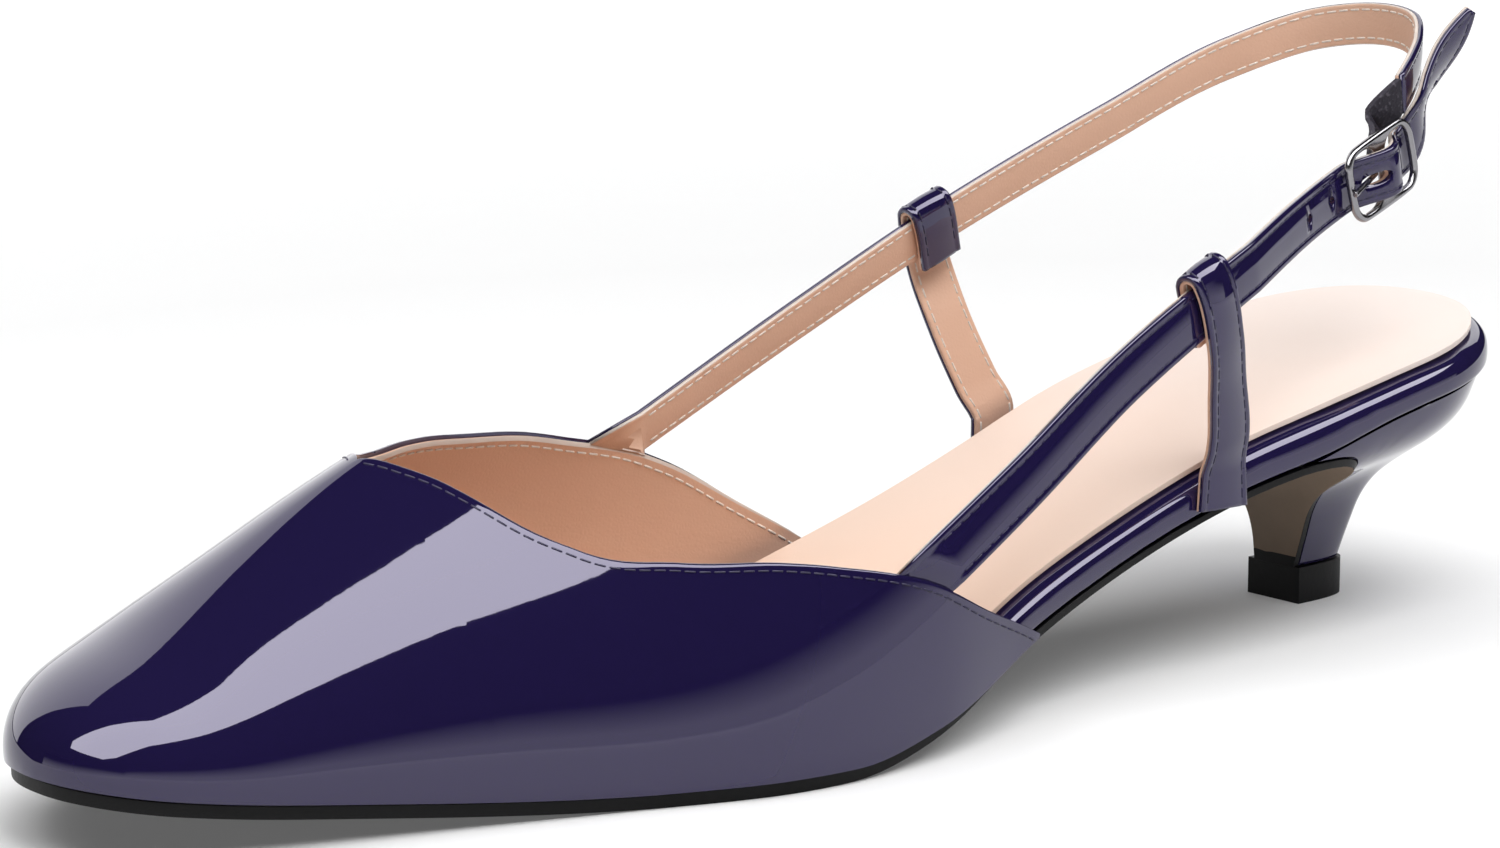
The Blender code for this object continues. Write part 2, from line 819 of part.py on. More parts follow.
def make_heel_strap(strap, finish):
    return loft("heel_strap", strap_rings(strap, HEEL_STRAP_WIDTH, strap.length), finish)


def make_elastic(heel_strap, buckle_strap, finish):
    """Short piece from the heel strap's end, under the frame's rear end, to the centre bar."""
    end, along, across, _ = heel_strap.frame(heel_strap.length)
    bar, bar_along, bar_across, bar_outward = buckle_strap.frame(buckle_strap.at_row(BUCKLE_ROW))
    start = end + along * (GAP * MM)
    reach = start - bar
    back, rise = reach.dot(bar_along), reach.dot(bar_across)
    points = [start]
    for row in UNDER:
        level = bar + bar_along * (back * row.left) + bar_across * (rise * row.left)
        points.append(level - bar_outward * (ELASTIC_DEPTH * row.depth * MM))
    shares = [0.0] + [row.along for row in UNDER]
    step = 0.02
    rings = [ribbon_ring(start, across, along.cross(across), ELASTIC_WIDTH, ELASTIC_THICKNESS)]
    for i in range(2, ELASTIC_SECTIONS + 1):
        share = i / ELASTIC_SECTIONS
        centre = path_point(points, shares, share)
        run = path_point(points, shares, share + step) - path_point(points, shares, share - step)
        run.normalize()
        up = across.lerp(bar_across, share)
        up = (up - run * up.dot(run)).normalized()
        rings.append(ribbon_ring(centre, up, run.cross(up), ELASTIC_WIDTH, ELASTIC_THICKNESS))
    return loft("elastic_piece", rings, finish)


def path_point(points, shares, share):
    """Smooth point through a few points, going straight on past the last one."""
    point = smooth_path(shares, points, min(share, 1.0))
    if share > 1:
        return point + (points[-1] - points[-2]) * ((share - 1) / (1 - shares[-2]))
    return point


def make_tab(name, strap, strap_width, row, station, finish):
    """Strip up from the board's edge, over the strap as a loop and down behind it."""
    side = strap.side
    loop, along, across, outward = strap.frame(strap.at_row(row))
    stand = STRAP_THICKNESS / 2 + GAP + TAB_THICKNESS / 2
    half = strap_width / 2
    share = station / LENGTH
    inset = board_inset(share) - GAP - TAB_THICKNESS / 2
    edge = inset_outline(share, side, inset)
    behind = inset_outline(share - EDGE_STEP, side, inset)
    foot = place(edge.x, edge.y, board_underside(station))
    edge_top = place(edge.x, edge.y, board_top(station))
    edge_run = (place(behind.x, behind.y, board_underside(behind.y)) - foot).normalized()
    path = [foot, edge_top]
    below = loop + (outward * stand - across * (half + LOOP_DROP)) * MM
    for sway in SWAY[1:]:
        back = sway.lateral if side == LATERAL else sway.medial
        path.append(edge_top.lerp(below, sway.up) + edge_run * (back * TAB_FOOT_WIDTH * MM))
    for i in range(LOOP_SECTIONS + 1):
        turn = math.pi * i / LOOP_SECTIONS
        rise = half + (GAP + TAB_THICKNESS / 2 + LOOP_SLACK) * math.sin(turn)
        path.append(loop + (outward * (stand * math.cos(turn)) + across * rise) * MM)
    path.append(loop + (-outward * stand - across * (half + TAB_END_OVERLAP)) * MM)
    distances = [0.0]
    for before, after in zip(path, path[1:]):
        distances.append(distances[-1] + (after - before).length)
    strap_from = distances[len(SWAY)]
    places = sorted({*distances, *[strap_from * i / TAB_SECTIONS for i in range(TAB_SECTIONS + 1)]})
    step = 0.15 * MM
    rings = []
    for distance in places:
        centre = smooth_path(distances, path, distance)
        run = smooth_path(distances, path, distance + step) - smooth_path(distances, path, distance - step)
        run.normalize()
        risen = min(distance / strap_from, 1.0)
        cross = edge_run.lerp(along, risen)
        cross = (cross - run * cross.dot(run)).normalized()
        width = TAB_FOOT_WIDTH + (TAB_LOOP_WIDTH - TAB_FOOT_WIDTH) * min(risen * TAB_TAPER, 1.0)
        rings.append(ribbon_ring(centre, cross, run.cross(cross), width, TAB_THICKNESS))
    return loft(name, rings, finish)


def smooth_path(distances, path, distance):
    return Vector([smooth(distances, [p[axis] for p in path], distance) for axis in range(3)])


def tube(builder, centres, directions, sides_up, diameter, closed):
    """Round wire through centres; each ring lies across its direction."""
    rings = []
    for centre, direction, up in zip(centres, directions, sides_up):
        other = direction.cross(up).normalized()
        ring = []
        for i in range(WIRE_SIDES):
            turn = 2 * math.pi * i / WIRE_SIDES
            offset = up * math.cos(turn) + other * math.sin(turn)
            ring.append(builder.verts.new(centre + offset * (diameter / 2 * MM)))
        rings.append(ring)
    pairs = list(zip(rings, rings[1:]))
    if closed:
        pairs.append((rings[-1], rings[0]))
    for ring, following in pairs:
        for i in range(WIRE_SIDES):
            j = (i + 1) % WIRE_SIDES
            builder.faces.new((ring[i], ring[j], following[j], following[i]))
    if not closed:
        builder.faces.new(rings[0])
        builder.faces.new(rings[-1])


def make_buckle(strap, finish):
    """Rounded frame round the strap, with a centre bar joined to its two long sides."""
    centre, along, across, outward = strap.frame(strap.at_row(BUCKLE_ROW))
    half_long = (FRAME_LENGTH - WIRE) / 2
    half_wide = BUCKLE_STRAP_WIDTH / 2 + FRAME_SIDE_ROOM + WIRE / 2
    corners = ((1, 1), (-1, 1), (-1, -1), (1, -1))
    centres, directions = [], []
    for number, (a, b) in enumerate(corners):
        middle_a = a * (half_long - FRAME_CORNER)
        middle_b = b * (half_wide - FRAME_CORNER)
        for i in range(CORNER_SECTIONS + 1):
            turn = math.pi / 2 * (number + i / CORNER_SECTIONS)
            reach = along * (middle_a + FRAME_CORNER * math.cos(turn))
            reach += across * (middle_b + FRAME_CORNER * math.sin(turn))
            centres.append(centre + reach * MM)
            directions.append(across * math.cos(turn) - along * math.sin(turn))
    builder = bmesh.new()
    tube(builder, centres, directions, [outward] * len(centres), WIRE, True)
    frame = add_object("buckle_frame", builder, finish)
    builder = bmesh.new()
    ends = [centre + across * (sign * half_wide * MM) for sign in (-1, 1)]
    tube(builder, ends, [across, across], [outward, outward], BAR, False)
    bar = add_object("centre_bar", builder, finish)
    bar.hide_render = True
    bar.display_type = "WIRE"
    join = frame.modifiers.new("bar", "BOOLEAN")
    join.operation = "UNION"
    join.object = bar
    return frame


def make_prong(strap, buckle_strap, finish):
    """Prong from the centre bar through the strap's hole to rest on the frame's front end."""
    centre, along, across, outward = strap.frame(strap.at_row(BUCKLE_ROW))
    half_long = (FRAME_LENGTH - WIRE) / 2
    over_wire = WIRE / 2 + GAP + PRONG / 2
    start = centre + (-along * (BAR / 2 + GAP + PRONG / 2) - outward * PRONG_SINK) * MM
    end = centre + (-along * (half_long + WIRE) + outward * over_wire) * MM
    run = (end - start).normalized()
    builder = bmesh.new()
    tube(builder, [start, end], [run, run], [across, across], PRONG, False)
    prong = add_object("buckle_prong", builder, finish)
    distance = strap.at_row(BUCKLE_ROW) - PRONG_HOLE_BACK * MM
    punch(buckle_strap, strap, distance, PRONG_HOLE_WIDTH, PRONG_HOLE_LENGTH)
    return prong


def clear_scene():
    for old in list(bpy.data.objects):
        bpy.data.objects.remove(old, do_unlink=True)


def build():
    clear_scene()
    navy = material("navy_patent", (0.018, 0.010, 0.060), 0.08)
    tan = material("tan_lining", (0.62, 0.36, 0.24), 0.55)
    black = material("black_sole", (0.01, 0.01, 0.012), 0.5)
    steel = material("gunmetal", (0.22, 0.22, 0.24), 0.25, 1.0)
    textile = material("dark_elastic", (0.02, 0.02, 0.03), 0.9)
    make_outsole(black)
    make_board(navy)
    make_sock(tan)
    make_vamp(navy)
    make_heel(navy)
    make_heel_tip(black)
    buckle_strap = Strap(BUCKLE_ROUTE, BUCKLE_ROOT, LATERAL)
    heel_strap = Strap(HEEL_ROUTE, HEEL_ROOT, MEDIAL)
    strap_object = make_buckle_strap(buckle_strap, navy)
    make_heel_strap(heel_strap, navy)
    make_elastic(heel_strap, buckle_strap, textile)
    make_tab("lateral_tab", buckle_strap, BUCKLE_STRAP_WIDTH, BUCKLE_LOOP_ROW, LATERAL_TAB_STATION, navy)
    make_tab("medial_tab", heel_strap, HEEL_STRAP_WIDTH, HEEL_LOOP_ROW, MEDIAL_TAB_STATION, navy)
    make_buckle(buckle_strap, steel)
    make_prong(buckle_strap, strap_object, steel)


build()
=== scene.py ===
"""Looks of the left kitten heel slingback pump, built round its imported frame.

Lengths are millimetres until a point is placed. A station is a distance from the back of the seat
towards the toe. The toe points to -Y, the outer side of the foot is +X, and the floor is z = 0.
"""

import math
from collections import namedtuple

import bmesh
import bpy
from mathutils import Matrix, Vector
from mathutils.bvhtree import BVHTree


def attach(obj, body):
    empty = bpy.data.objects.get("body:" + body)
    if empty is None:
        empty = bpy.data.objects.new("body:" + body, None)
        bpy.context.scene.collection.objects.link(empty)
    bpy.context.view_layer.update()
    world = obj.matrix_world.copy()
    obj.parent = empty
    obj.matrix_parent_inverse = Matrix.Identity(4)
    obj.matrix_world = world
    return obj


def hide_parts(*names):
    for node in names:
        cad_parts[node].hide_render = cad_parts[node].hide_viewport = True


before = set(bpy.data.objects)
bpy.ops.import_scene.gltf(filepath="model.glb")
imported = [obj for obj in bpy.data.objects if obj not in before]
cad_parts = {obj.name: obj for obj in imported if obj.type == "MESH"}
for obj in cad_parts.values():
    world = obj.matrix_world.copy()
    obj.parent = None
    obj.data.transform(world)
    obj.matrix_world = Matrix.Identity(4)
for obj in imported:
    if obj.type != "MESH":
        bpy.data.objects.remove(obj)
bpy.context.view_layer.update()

MM = 0.001
GAP = 0.3
LATERAL = 1
MEDIAL = -1

LENGTH = 262.0
FOREPART_WIDTH = 74.0
SEAT_HEIGHT = 40.0
HEEL_TIP_STATION = 31.5
SOLE_THICKNESS = 1.8
BOARD_THICKNESS = 4.9
WALL = 1.6
INSTEP_HEIGHT = 50.0
SIDE_BULGE = 1.4
NOSE_LENGTH = 15.0
NOSE_POWER = 2.4
THROAT_STATION = 209.0
LATERAL_END_STATION = 120.0
MEDIAL_END_STATION = 115.0
STRAP_THICKNESS = 1.4
# The strap is drawn a little wider than its solid, as the photograph shows it
BUCKLE_STRAP_WIDTH = 7.5
HEEL_STRAP_WIDTH = 6.6
SLING_HEIGHT = 86.0
POINT_LENGTH = 10.0
POINT_WIDTH = 1.8
POINT_POWER = 1.6
HOLE_DIAMETER = 1.4
HOLE_SPACING = 7.6
HOLES_SHOWN = 2
FIRST_HOLE = 3.7
ROOT_LEAN = 16
WIRE = 1.4
FRAME_LENGTH = 19.0
WEAVE_GAP = 0.56
PRONG_HOLE_BACK = 3.2
PRONG_HOLE_LENGTH = 4.6
PRONG_HOLE_WIDTH = 1.9
TAB_THICKNESS = 1.2
TAB_FOOT_WIDTH = 9.2
TAB_LOOP_WIDTH = 8.0
TAB_END_OVERLAP = 1.5
TAB_TAPER = 1.3
LOOP_DROP = 2.0
LOOP_SLACK = 0.9
LATERAL_TAB_STATION = 79.2
MEDIAL_TAB_STATION = 77.0
EDGE_STEP = 0.01
LOOP_SECTIONS = 8
ROOT_CLEAR = 5.0

# Half widths of the upper's edge at the sole, as shares of the forepart's width
Outline = namedtuple("Outline", "along lateral medial")
OUTLINE = (
    Outline(0.00, 0.358, 0.391),
    Outline(0.12, 0.404, 0.386),
    Outline(0.22, 0.411, 0.362),
    Outline(0.34, 0.399, 0.309),
    Outline(0.45, 0.446, 0.297),
    Outline(0.55, 0.534, 0.376),
    Outline(0.65, 0.535, 0.465),
    Outline(0.73, 0.442, 0.489),
    Outline(0.80, 0.365, 0.462),
    Outline(0.87, 0.296, 0.400),
    Outline(0.93, 0.240, 0.352),
    Outline(1.00, 0.176, 0.174),
)
NORMAL_STEP = 0.0004
SEAT_ROUNDING = 0.115
SEAT_POWER = 2.2
TOE_ROUNDING = 0.05
TOE_POWER = 2.4

# Height of the sole's underside as a share of the seat's height, and the sole's thickness as a share
# of its thickness at the forepart
Profile = namedtuple("Profile", "along underside thickness")
PROFILE = (
    Profile(0.00, 0.940, 0.56),
    Profile(0.08, 0.873, 0.56),
    Profile(0.16, 0.793, 0.56),
    Profile(0.22, 0.694, 0.56),
    Profile(0.26, 0.652, 0.56),
    Profile(0.35, 0.495, 0.56),
    Profile(0.45, 0.293, 0.66),
    Profile(0.55, 0.070, 0.90),
    Profile(0.61, 0.000, 1.00),
    Profile(0.71, 0.000, 1.00),
    Profile(0.75, 0.010, 1.00),
    Profile(0.80, 0.035, 1.00),
    Profile(0.86, 0.076, 1.00),
    Profile(0.92, 0.122, 1.00),
    Profile(1.00, 0.211, 1.00),
)

# Board: thickness as a share of its thickness at the seat, and how far inside the outline it lies
# as a share of the upper's wall and its clearance
Board = namedtuple("Board", "along thickness inset")
BOARD = (
    Board(0.00, 1.31, 1.32),
    Board(0.08, 1.12, 1.21),
    Board(0.16, 1.04, 1.11),
    Board(0.22, 1.24, 1.02),
    Board(0.26, 1.15, 1.00),
    Board(0.35, 1.02, 1.00),
    Board(0.48, 0.98, 1.00),
    Board(0.58, 0.75, 1.00),
    Board(1.00, 0.70, 1.00),
)

# Crown line of the upper over the sole: height as a share of the instep's height, the pull of
# both walls and of the top on either side on the section's curve
Crown = namedtuple("Crown", "along height lateral medial top_lateral top_medial")
CROWN = (
    Crown(0.45, 1.20, 0.60, 0.78, 0.45, 0.45),
    Crown(0.60, 1.064, 0.606, 0.78, 0.46, 0.45),
    Crown(0.70, 1.007, 0.545, 0.68, 0.22, 0.35),
    Crown(0.80, 0.797, 0.64, 0.58, 0.13, 0.26),
    Crown(0.88, 0.538, 0.60, 0.60, 0.32, 0.38),
    Crown(0.94, 0.332, 0.48, 0.63, 0.62, 0.49),
    Crown(1.00, 0.20, 0.66, 0.66, 0.60, 0.60),
)

# Top edge of the upper: how far round the section it lies, from the throat to the flap's end
Topline = namedtuple("Topline", "along lateral medial")
TOPLINE = (
    Topline(0.00, 1.00, 1.00),
    Topline(0.03, 0.83, 0.83),
    Topline(0.07, 0.69, 0.71),
    Topline(0.13, 0.53, 0.62),
    Topline(0.20, 0.44, 0.57),
    Topline(0.33, 0.382, 0.480),
    Topline(0.47, 0.348, 0.414),
    Topline(0.60, 0.298, 0.340),
    Topline(0.73, 0.215, 0.235),
    Topline(0.86, 0.107, 0.115),
    Topline(1.00, 0.006, 0.010),
)

# Stations between which each strap comes out of the upper's rim
Root = namedtuple("Root", "upper lower")
BUCKLE_ROOT = Root(149.5, 140.0)
HEEL_ROOT = Root(154.5, 144.5)

# Middle lines of the straps: across as a share of the forepart's width, along as a share of the
# length, up as a share of the sling's height, lean of the strap's face in degrees
Route = namedtuple("Route", "across along up lean")
BUCKLE_ROUTE = (
    Route(0.488, 0.480, 0.415, 12),
    Route(0.453, 0.400, 0.550, 9),
    Route(0.421, 0.325, 0.650, 6),
    Route(0.348, 0.240, 0.729, 4),
    Route(0.291, 0.180, 0.776, 3),
    Route(0.264, 0.141, 0.811, 3),
    Route(0.237, 0.102, 0.846, -1),
    Route(0.239, 0.088, 0.950, -18),
    Route(0.272, 0.070, 1.079, -13),
)
BUCKLE_LOOP_ROW = 2
BUCKLE_ROW = 5
HEEL_ROUTE = (
    Route(-0.378, 0.427, 0.571, 12),
    Route(-0.392, 0.325, 0.694, 9),
    Route(-0.365, 0.192, 0.850, 6),
    Route(-0.317, 0.100, 0.958, 4),
    Route(-0.203, 0.057, 1.012, 3),
    Route(-0.060, 0.046, 1.028, 2),
    Route(0.060, 0.054, 1.021, 2),
    Route(0.150, 0.077, 0.990, 2),
    Route(0.198, 0.098, 0.962, 2),
    Route(0.232, 0.117, 0.936, 2),
)
HEEL_LOOP_ROW = 1

# How far a tab bends back from the straight way up to its loop, as a share of its foot's width
Sway = namedtuple("Sway", "up lateral medial")
SWAY = (
    Sway(0.22, 0.08, -0.06),
    Sway(0.62, 0.00, -0.10),
    Sway(1.00, -0.10, 0.0),
)

# How the strap weaves through the buckle: place along as a share of half the frame, and how far
# out it stands as a share of its full bend
Weave = namedtuple("Weave", "along out")
WEAVE = (
    Weave(-4.5, 0.00),
    Weave(-2.6, -0.75),
    Weave(-1.1, -1.00),
    Weave(-0.9, -1.00),
    Weave(0.0, 1.00),
    Weave(0.9, -1.00),
    Weave(1.1, -1.00),
    Weave(2.6, -0.55),
    Weave(4.0, 0.00),
)


def smooth(places, values, at):
    """Cubic pieces through the given values, level beside a stretch that does not change."""
    last = len(places) - 1
    at = min(max(at, places[0]), places[last])
    slopes = [(values[i + 1] - values[i]) / (places[i + 1] - places[i]) for i in range(last)]
    tangents = [slopes[0]]
    for i in range(1, last):
        before = places[i] - places[i - 1]
        after = places[i + 1] - places[i]
        if slopes[i - 1] == 0.0 or slopes[i] == 0.0:
            tangents.append(0.0)
        else:
            tangents.append((slopes[i - 1] * after + slopes[i] * before) / (before + after))
    tangents.append(slopes[-1])
    i = 0
    while i < last - 1 and at > places[i + 1]:
        i += 1
    step = places[i + 1] - places[i]
    u = (at - places[i]) / step
    return (
        (2 * u**3 - 3 * u**2 + 1) * values[i]
        + (u**3 - 2 * u**2 + u) * step * tangents[i]
        + (3 * u**2 - 2 * u**3) * values[i + 1]
        + (u**3 - u**2) * step * tangents[i + 1]
    )


def smooth_path(distances, path, distance):
    """Point at a distance along a line of points."""
    return Vector([smooth(distances, [point[axis] for point in path], distance) for axis in range(3)])


def read(table, column, along):
    """Value of a table's column at a share of the table's first column."""
    places = [row[0] for row in table]
    values = [getattr(row, column) for row in table]
    return smooth(places, values, along)


def rounding(along):
    """Narrowing of the outline at the seat's back and at the toe."""
    back = min(max(1 - along / SEAT_ROUNDING, 0.0), 1.0)
    front = min(max(1 - (1 - along) / TOE_ROUNDING, 0.0), 1.0)
    return (1 - back**SEAT_POWER) ** (1 / SEAT_POWER) * (1 - front**TOE_POWER) ** (1 / TOE_POWER)


def centre_line(along):
    """Middle of the outline across the shoe."""
    difference = read(OUTLINE, "lateral", along) - read(OUTLINE, "medial", along)
    return FOREPART_WIDTH * difference / 2


def outline(along, side):
    """Plan point (across, station) of the upper's edge at the sole."""
    total = read(OUTLINE, "lateral", along) + read(OUTLINE, "medial", along)
    half = FOREPART_WIDTH * total / 2 * rounding(along)
    return Vector((centre_line(along) + side * half, along * LENGTH))


def inset_outline(along, side, inset):
    """Plan point of the outline moved inwards along its own normal."""
    before = outline(max(along - NORMAL_STEP, 0.0), side)
    after = outline(min(along + NORMAL_STEP, 1.0), side)
    run = (after - before).normalized()
    inward = Vector((-run.y, run.x)) * side
    return outline(along, side) + inward * inset


def sole_underside(station):
    return SEAT_HEIGHT * read(PROFILE, "underside", station / LENGTH)


def sole_top(station):
    return sole_underside(station) + SOLE_THICKNESS * read(PROFILE, "thickness", station / LENGTH)


def board_underside(station):
    return sole_top(station) + GAP


def board_top(station):
    return board_underside(station) + BOARD_THICKNESS * read(BOARD, "thickness", station / LENGTH)


def board_inset(along):
    return (WALL + GAP) * read(BOARD, "inset", along)


def place(across, station, up):
    """World point in metres."""
    return Vector((across, HEEL_TIP_STATION - station, up)) * MM


def nose(along):
    """Drop of the crown line over the toe."""
    ahead = min(max(1 - (1 - along) * LENGTH / NOSE_LENGTH, 0.0), 1.0)
    return (1 - ahead**NOSE_POWER) ** (1 / NOSE_POWER)


def vamp_point(along, side, turn):
    """Outer face of the upper: turn runs from 0 at the sole to 1 at the crown line."""
    station = along * LENGTH
    base = board_underside(station)
    width = outline(along, side).x
    middle = centre_line(along)
    height = INSTEP_HEIGHT * read(CROWN, "height", along) * nose(along)
    name = "lateral" if side == LATERAL else "medial"
    wall_pull = read(CROWN, name, along)
    bulge = side * SIDE_BULGE * rounding(along)
    foot = Vector((width, base))
    crown = Vector((middle, base + height))
    side_pull = foot + Vector((bulge, wall_pull * height))
    top_pull = crown + Vector(((width - middle) * read(CROWN, "top_" + name, along), 0.0))
    rest = 1 - turn
    point = (
        foot * rest**3
        + side_pull * 3 * rest**2 * turn
        + top_pull * 3 * rest * turn**2
        + crown * turn**3
    )
    return place(point.x, station, point.y)


def topline_turn(station, side):
    """How far round its section the upper's top edge lies at a station."""
    end = LATERAL_END_STATION if side == LATERAL else MEDIAL_END_STATION
    share = (THROAT_STATION - station) / (THROAT_STATION - end)
    if share <= 0:
        return 1.0
    return read(TOPLINE, "lateral" if side == LATERAL else "medial", share)


RIM_STEP_ROUND = 0.01
RIM_STEP_ALONG = 0.002


def rim_point(station, side):
    """Middle of the wall at the upper's top edge, and the wall's outward direction there."""
    turn = topline_turn(station, side)
    along = station / LENGTH
    point = vamp_point(along, side, turn)
    round_section = vamp_point(along, side, turn + RIM_STEP_ROUND) - point
    forward = vamp_point(along + RIM_STEP_ALONG, side, turn) - point
    outward = round_section.cross(forward) * side
    outward.normalize()
    return point - outward * (WALL / 2 * MM), outward


class Strap:
    """Middle line of a strap, starting at the upper's rim and running through a table of rows."""

    def __init__(self, rows, root, side):
        self.side = side
        self.root_upper, self.root_upper_out = rim_point(root.upper, side)
        self.root_lower, self.root_lower_out = rim_point(root.lower, side)
        first = (self.root_upper + self.root_lower) / 2
        self.points = [first]
        for row in rows:
            x = row.across * FOREPART_WIDTH
            self.points.append(place(x, row.along * LENGTH, row.up * SLING_HEIGHT))
        self.leans = [ROOT_LEAN] + [row.lean for row in rows]
        self.distances = [0.0]
        for before, after in zip(self.points, self.points[1:]):
            self.distances.append(self.distances[-1] + (after - before).length)
        self.length = self.distances[-1]

    def at_row(self, row):
        """Distance along the strap of a table row."""
        return self.distances[row + 1]

    def point(self, distance):
        return smooth_path(self.distances, self.points, distance)

    def frame(self, distance):
        """Point, direction along the strap, direction up across it, and direction out of its face."""
        step = 0.4 * MM
        along = (self.point(distance + step) - self.point(distance - step)).normalized()
        lean = math.radians(smooth(self.distances, self.leans, distance))
        upright = Vector((-math.sin(lean) * self.side, 0.0, math.cos(lean)))
        across = (upright - along * upright.dot(along)).normalized()
        return self.point(distance), along, across, along.cross(across) * self.side


def weave(strap):
    """How far the buckle strap stands out of its middle line on its way through the buckle."""
    centre = strap.at_row(BUCKLE_ROW)
    bend = WIRE / 2 + STRAP_THICKNESS / 2 + WEAVE_GAP
    half = (FRAME_LENGTH - WIRE) / 2 * MM
    return lambda distance: bend * read(WEAVE, "out", (distance - centre) / half)


# Finishes

# Linear colours
COLOURS = {
    "patent": (0.0115, 0.0074, 0.045),
    "lining": (0.71, 0.45, 0.325),
    "lining_dark": (0.63, 0.385, 0.27),
    "sock": (0.77, 0.545, 0.41),
    "sock_heel": (0.87, 0.82, 0.80),
    "cut_edge": (0.70, 0.60, 0.53),
    "sole": (0.002, 0.002, 0.0025),
    "breast": (0.24, 0.175, 0.125),
    "gunmetal": (0.27, 0.265, 0.28),
    "elastic": (0.016, 0.013, 0.022),
    # Colour of the lighter flecks on the elastic's raised threads: painted glints
    "elastic_painted_glint": (0.075, 0.066, 0.085),
    "navy_thread": (0.012, 0.008, 0.045),
    "pale_thread": (0.88, 0.78, 0.69),
    "floor": (0.82, 0.82, 0.82),
}


# Numbered sockets of the Mix node for colours, whose names it has more than once
MIX_SHARE = 0
MIX_FIRST = 6
MIX_SECOND = 7
MIX_COLOUR = 2
# Outputs of the node that separates a place into its three measures
ALONG_Y = 1
ALONG_Z = 2

PATENT_TINT = (0.86, 0.82, 1.0, 1.0)
# Share of the paler tone in the sock per metre towards the heel, and at the heel tip's place
SOCK_PALING = 5.0
SOCK_PALE_AT_TIP = 0.62
THREAD_SHADE = 0.55
MATT = {"Specular IOR Level": 0.2}


class Tone:
    """A shader socket that takes part in arithmetic."""

    def __init__(self, finish, socket):
        self.finish = finish
        self.socket = socket

    def work(self, operation, first, second):
        return self.finish.node("ShaderNodeMath", {"operation": operation}, {0: first, 1: second})

    def __add__(self, other):
        return self.work("ADD", self, other)

    def __sub__(self, other):
        return self.work("SUBTRACT", self, other)

    def __rsub__(self, other):
        return self.work("SUBTRACT", other, self)

    def __mul__(self, other):
        return self.work("MULTIPLY", self, other)

    __radd__ = __add__
    __rmul__ = __mul__


class Finish:
    """A material made of nodes, ending in one Principled shader."""

    def __init__(self, name):
        self.material = bpy.data.materials.new(name)
        self.material.use_nodes = True
        self.tree = self.material.node_tree
        self.tree.nodes.clear()
        self.place = self.node("ShaderNodeTexCoord", output="Object")

    def node(self, kind, settings=None, sockets=None, output=0):
        """Adds a node: its settings first, then the values or links of its sockets."""
        made = self.tree.nodes.new(kind)
        for key, value in (settings or {}).items():
            if key == "stops":
                set_stops(made.color_ramp, value)
            else:
                setattr(made, key, value)
        for key, value in (sockets or {}).items():
            if isinstance(value, Tone):
                self.tree.links.new(value.socket, made.inputs[key])
            else:
                made.inputs[key].default_value = value
        return Tone(self, made.outputs[output]) if made.outputs else None

    def noise(self, scale, detail, stretch=None, roughness=0.5):
        place = self.place
        if stretch:
            place = self.node("ShaderNodeMapping", None, {"Vector": place, "Scale": stretch})
        sockets = {"Vector": place, "Scale": scale, "Detail": detail, "Roughness": roughness}
        return self.node("ShaderNodeTexNoise", None, sockets)

    def pores(self, scale):
        sockets = {"Vector": self.place, "Scale": scale}
        return self.node("ShaderNodeTexVoronoi", {"feature": "DISTANCE_TO_EDGE"}, sockets)

    def ramp(self, value, stops):
        return self.node("ShaderNodeValToRGB", {"stops": stops}, {"Fac": value})

    def blend(self, share, first, second):
        sockets = {MIX_SHARE: share, MIX_FIRST: rgba(first), MIX_SECOND: rgba(second)}
        return self.node("ShaderNodeMix", {"data_type": "RGBA"}, sockets, output=MIX_COLOUR)

    def bump(self, height, distance, strength=1.0, normal=None):
        sockets = {"Height": height, "Distance": distance, "Strength": strength}
        if normal:
            sockets["Normal"] = normal
        return self.node("ShaderNodeBump", None, sockets)

    def surface(self, colour, roughness, more=None):
        """Ends the material in a Principled shader and gives it back."""
        sockets = {"Base Color": rgba(colour), "Roughness": roughness}
        sockets.update(more or {})
        shader = self.node("ShaderNodeBsdfPrincipled", None, sockets)
        self.node("ShaderNodeOutputMaterial", None, {"Surface": shader})
        return self.material


def rgba(colour):
    return colour if isinstance(colour, Tone) else (*colour, 1.0)


def set_stops(ramp, stops):
    while len(ramp.elements) < len(stops):
        ramp.elements.new(1.0)
    for element, (position, colour) in zip(ramp.elements, stops):
        element.position = position
        element.color = (*colour, 1.0)


def patent_leather():
    finish = Finish("navy_patent_leather")
    swell = finish.noise(scale=26.0, detail=1.0)
    peel = finish.noise(scale=620.0, detail=1.0)
    normal = finish.bump(swell, distance=0.00003)
    normal = finish.bump(peel, distance=0.0000025, normal=normal)
    cloud = finish.noise(scale=90.0, detail=3.0)
    more = {"IOR": 1.68, "Specular Tint": PATENT_TINT, "Normal": normal}
    return finish.surface(COLOURS["patent"], roughness=0.02 + 0.02 * cloud, more=more)


def lining_leather():
    finish = Finish("tan_lining_leather")
    cloud = finish.noise(scale=55.0, detail=4.0)
    grain = finish.pores(scale=1500.0)
    wrinkle = finish.noise(scale=240.0, detail=3.0, stretch=(1.0, 0.35, 1.0), roughness=0.6)
    colour = finish.blend(cloud, COLOURS["lining"], COLOURS["lining_dark"])
    normal = finish.bump(wrinkle, distance=0.00022, strength=0.5)
    normal = finish.bump(grain, distance=0.00006, strength=0.5, normal=normal)
    more = {"Normal": normal, "Specular IOR Level": 0.3}
    return finish.surface(colour, roughness=0.42 + 0.16 * cloud, more=more)


